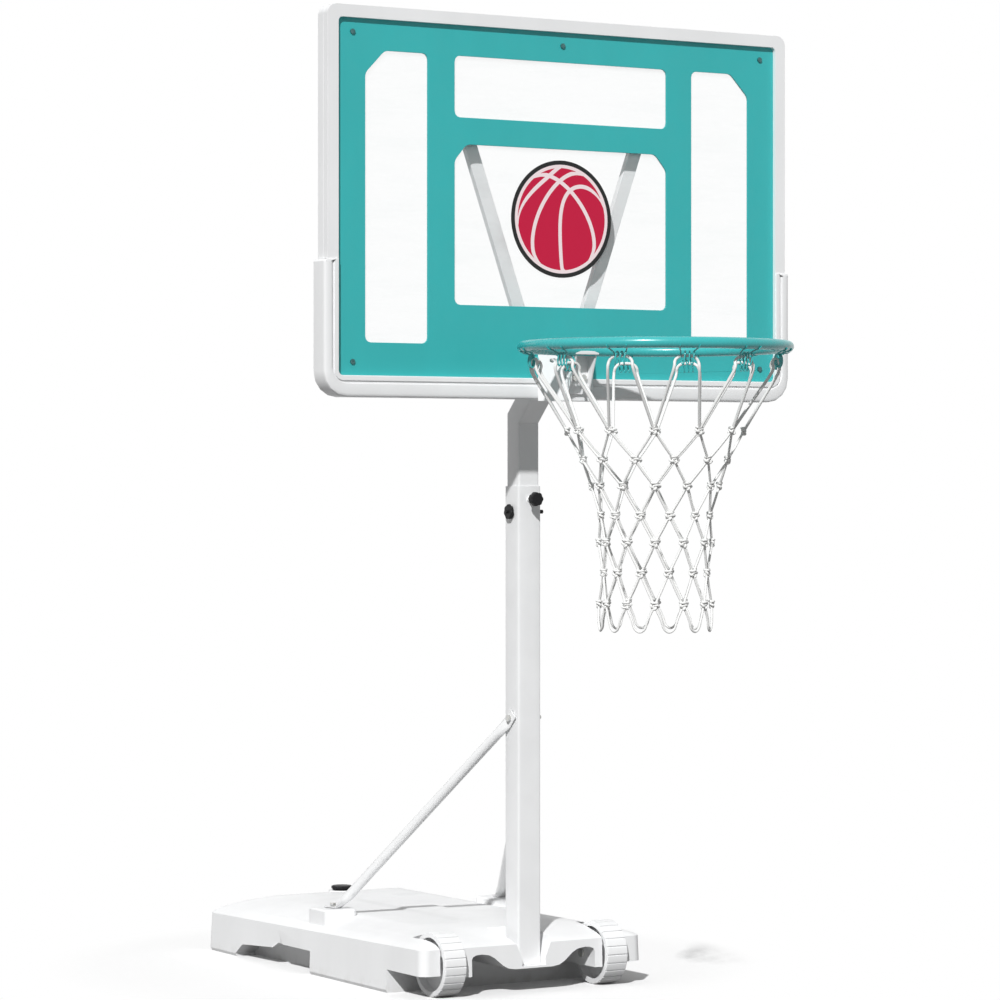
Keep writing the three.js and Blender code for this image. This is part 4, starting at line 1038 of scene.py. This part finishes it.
@dataclass
class Net:
    """The cord net: loops on the hooks, knotted diamonds and hanging end loops.

    The rows, the loops' arches and the wrap's size are in millimetres, apart from the end
    arch's widths, which are shares of end_half.
    """

    rim: Rim
    cord: float = 2.1 * MM
    loop_cord: float = 2.7 * MM
    cord_steps: int = 4
    end_steps: int = 5
    rows_z: tuple[float, ...] = (1042, 991, 945, 893, 845, 791.5, 736)
    rows_radius: tuple[float, ...] = (156, 132, 113, 99.5, 100, 94.5, 99.5)
    loop_half: float = 16 * MM
    loop_z: float = 1168 * MM
    loop_inward: float = 6 * MM
    loop_arch: tuple[Pair, ...] = ((7, 24), (4.5, 9), (-1.5, 2), (-9, 0))
    end_z: float = 690 * MM
    end_radius: float = 99.5 * MM
    end_half: float = 13 * MM
    end_arch: tuple[Pair, ...] = ((-1.15, 22), (-0.72, 6), (0, 0), (0.72, 6), (1.15, 22))
    sag: float = 1.2 * MM
    knot_size: float = 2.7 * MM
    knot_steps: int = 48
    knot_shape: Triple = (0.95, 1.1, 0.6)
    knot_drop: float = 1.5 * MM
    knot_cord: float = 0.95
    roll_most: float = 0.35
    roll_turns: Pair = (2.3, 1.7)
    wrap_steps: int = 16
    wrap_size: Pair = (5.6, 4.2)
    wrap_rise: float = 5.2 * MM

    def build(self) -> None:
        """Builds the net as one piece."""
        tubes = Tubing()
        rows = range(len(self.rows_z))
        for k, angle in enumerate(self.rim.hook_angles()):
            tubes.add(self.top_loop(k, angle), self.loop_cord)
            tubes.add(self.end_loop(k, angle), self.cord)
            for row in rows[:-1]:
                step = 1 if row % 2 else -1
                for other in (k, k + step):
                    strand = self.strand(self.knot(row, k), self.knot(row + 1, other))
                    tubes.add(strand, self.cord)
            for row in rows:
                self.tie(tubes, row, k)
        fit(tubes.finish("net_cords"), Body.MAST, CORD, "net")

    def angle(self, row: int, k: int) -> float:
        """Returns a knot's angle: every second row is set half a pitch on."""
        return self.rim.turned(k + (0.5 if row % 2 else 0))

    def knot(self, row: int, k: int) -> Vector:
        """Returns a knot's place."""
        reach, z = self.rows_radius[row] * MM, self.rows_z[row] * MM
        return self.rim.point(self.angle(row, k), reach, 0, z)

    def top_loop(self, k: int, angle: float) -> list[Vector]:
        """Returns the loop in one group of hooks, from knot to knot in a round arch."""
        reach = self.rim.coil_radius - self.loop_inward
        path = [self.knot(0, k)]
        for side in (-1, 1):
            for wide, drop in self.loop_arch[::-side]:
                aside = side * (self.loop_half + wide * MM)
                path.append(self.rim.point(angle, reach, aside, self.loop_z - drop * MM))
        path.append(self.knot(0, k + 1))
        path.insert(1, path[0].lerp(path[1], 0.5))
        path.insert(-1, path[-2].lerp(path[-1], 0.5))
        return smooth_path(path, self.cord_steps)

    def end_loop(self, k: int, angle: float) -> list[Vector]:
        """Returns the loop that hangs between two knots of the last row."""
        last = len(self.rows_z) - 1
        turn = [
            self.rim.point(angle, self.end_radius, self.end_half * wide, self.end_z + rise * MM)
            for wide, rise in self.end_arch
        ]
        path = [self.knot(last, k), *turn, self.knot(last, k + 1)]
        return smooth_path(path, self.end_steps)

    def strand(self, start: Vector, end: Vector) -> list[Vector]:
        """Returns a slightly slack cord between two knots."""
        middle = start.lerp(end, 0.5) - Vector((0, 0, self.sag))
        return smooth_path([start, middle, end], self.cord_steps)

    def tie(self, tubes: Tubing, row: int, k: int) -> None:
        """Adds a knot: a trefoil that is pressed flat against the net, and a wrap above it."""
        place = self.knot(row, k)
        out, side = self.rim.ways(self.angle(row, k))
        roll = self.roll_most * math.sin(self.roll_turns[0] * k + self.roll_turns[1] * row)
        wide, deep, tall = self.knot_shape
        trefoil = []
        for i in range(self.knot_steps):
            t = TAU * i / self.knot_steps
            x = math.sin(t) + 2 * math.sin(2 * t)
            y = -math.sin(3 * t)
            z = math.cos(t) - 2 * math.cos(2 * t)
            turned_x = x * math.cos(roll) - z * math.sin(roll)
            turned_z = x * math.sin(roll) + z * math.cos(roll)
            offset = side * turned_x * wide + out * y * deep + Vector((0, 0, turned_z * tall))
            trefoil.append(place + offset * self.knot_size - Vector((0, 0, self.knot_drop)))
        tubes.add(trefoil, self.cord * self.knot_cord, True)
        wide, deep = self.wrap_size
        wrap = []
        for i in range(self.wrap_steps):
            t = TAU * i / self.wrap_steps
            ring = side * math.cos(t) * wide * MM + out * math.sin(t) * deep * MM
            lean = math.cos(t) * math.sin(roll) * MM
            wrap.append(place + ring + Vector((0, 0, self.wrap_rise + lean)))
        tubes.add(wrap, self.cord * self.knot_cord, True)


@dataclass
class Wheels:
    """The two wheels with their grooved tyres."""

    radius: float = 60 * MM
    half: float = 22.5 * MM
    edge: float = 2 * MM
    edge_share: float = 0.3
    tyre: float = 10 * MM
    dish: float = 7 * MM
    hub: float = 14 * MM
    bore: float = 5.4 * MM
    grooves: int = 24
    groove_wide: float = 3 * MM
    groove_deep: float = 2 * MM
    wall_share: float = 0.15
    land_steps: int = 9

    def build(self) -> None:
        """Builds both wheels."""
        for node in each("wheel"):
            fit(self.wheel(node), Body(node), WHITE, node)

    def tread(self) -> list[tuple[float, bool]]:
        """Returns the angles round the wheel, each with whether it lies in a groove."""
        pitch = TAU / self.grooves
        half = self.groove_wide / 2 / self.radius
        edge = half + half * self.wall_share
        land = [edge + (pitch - 2 * edge) * k / self.land_steps for k in range(self.land_steps + 1)]
        stops = []
        for i in range(self.grooves):
            start = pitch * i
            stops += [(start - half, True), (start + half, True)]
            stops += [(start + angle, False) for angle in land]
        return stops

    def wheel(self, node: str) -> Piece:
        """Returns the wheel in a CAD node's place: a grooved tyre, a dished disc and a hub."""
        low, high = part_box(node)
        middle = (low + high) / 2
        half, rim, edge = self.half, self.radius, self.edge
        inner, cut = rim - self.tyre, edge * self.edge_share
        side = [(self.bore, half - edge), (self.hub, half - edge), (self.hub, self.dish)]
        side += [(inner, self.dish), (inner, half), (rim - edge, half)]
        side += [(rim - cut, half - cut), (rim, half - edge)]
        outline = [(reach, -across) for reach, across in side] + side[::-1]
        bm = bmesh.new()
        rings = []
        for angle, sunk in self.tread():
            floor = rim - self.groove_deep if sunk else rim
            rings.append([])
            for reach, across in outline:
                out = min(reach, floor)
                place = Vector((across, out * math.cos(angle), out * math.sin(angle)))
                rings[-1].append(bm.verts.new(middle + place))
        for ring, following in zip(rings, rings[1:] + rings[:1]):
            for k in range(len(outline)):
                j = (k + 1) % len(outline)
                bm.faces.new((ring[k], ring[j], following[j], following[k]))
        bmesh.ops.recalc_face_normals(bm, faces=bm.faces)
        piece = from_bmesh(f"{node}_form", bm)
        soften(piece, 0)
        return piece


@dataclass
class Studio:
    """Camera, soft light and a pale floor."""

    eye: Vector = field(default_factory=lambda: Vector((-3.584, POLE_Y - 5.932, 0.9574)))
    heading: float = math.radians(-30.7856)
    focal: float = 133.13
    sensor: float = 36.0
    shift: float = -0.021
    far_clip: float = 200.0
    light_travel: Vector = field(default_factory=lambda: Vector((0.54, 0.575, -0.61)))
    sun_strength: float = 3.5
    sun_spread: float = math.radians(2)
    sky_low: float = 0.13
    sky_high: float = 0.34
    floor_bounce: float = 0.2
    floor_colour: float = 1.0
    floor_rough: float = 0.9
    floor_fade: Pair = (0.56, 0.72)
    floor_half: float = 40.0

    def build(self) -> None:
        """Builds the camera, the light and the floor."""
        self.camera()
        self.light()
        self.floor()
        bpy.context.scene.view_settings.view_transform = "Standard"

    def camera(self) -> None:
        """Builds the camera at the picture's viewing angle."""
        data = bpy.data.cameras.new("camera")
        data.lens = self.focal
        data.sensor_width = self.sensor
        data.shift_y = self.shift
        data.clip_end = self.far_clip
        camera = new_object("camera", data)
        camera.location = self.eye
        camera.rotation_euler = (math.radians(90), 0, self.heading)
        bpy.context.scene.camera = camera

    def light(self) -> None:
        """Builds one soft lamp and a pale sky that is lighter overhead."""
        data = bpy.data.lights.new("soft_lamp", "SUN")
        data.energy = self.sun_strength
        data.angle = self.sun_spread
        lamp = new_object("soft_lamp", data)
        lamp.rotation_euler = self.light_travel.to_track_quat("-Z", "Y").to_euler()
        world = bpy.data.worlds.new("sky")
        bpy.context.scene.world = world
        world.cycles.sampling_method = "NONE"
        world.use_nodes = True
        sky = Graph(world.node_tree)
        rise = sky.axes(sky.node("TexCoord", result="Generated"))[2]
        limits = {"Value": rise, "To Min": self.sky_low, "To Max": self.sky_high}
        level = sky.node("MapRange", None, limits)
        limits = {"Value": sky.in_sight(), "To Min": level, "To Max": 1.0}
        strength = sky.node("MapRange", None, limits)
        background = sky.tree.nodes["Background"]
        sky.feed(background.inputs["Color"], (1, 1, 1, 1))
        sky.feed(background.inputs["Strength"], strength)

    def floor(self) -> None:
        """Builds the floor, pale near the hoop and lost in the background further out."""
        half = self.floor_half
        bm = bmesh.new()
        corners = ((-half, -half), (half, -half), (half, half), (-half, half))
        bm.faces.new([bm.verts.new((x, y, 0)) for x, y in corners])
        plane = from_bmesh("floor", bm)
        skin = Skin("pale_floor")
        x, y, _ = skin.axes(skin.place())
        seen = skin.in_sight()
        dull, pale = [(level, level, level, 1) for level in (self.floor_bounce, self.floor_colour)]
        skin.set(Base_Color=skin.mix(seen, dull, pale), Roughness=self.floor_rough)
        glow = skin.node("Emission", None, {"Color": (1, 1, 1, 1), "Strength": 1.0})
        far = x.across(y).ramp(*self.floor_fade) * seen
        shader = Value(skin, skin.shader.outputs[0])
        blend = skin.node("MixShader", None, {0: far, 1: shader, 2: glow})
        skin.feed(skin.output.inputs[0], blend)
        plane.data.materials.append(skin.material)


def main() -> None:
    """Builds the hoop, sub-assembly by sub-assembly."""
    logging.basicConfig(level=logging.INFO, format="%(name)s: %(message)s")
    rim = Rim()
    for part in (Studio(), Wheels(), Board(), rim, Net(rim), *COVERS):
        part.build()


if __name__ == "__main__":
    main()
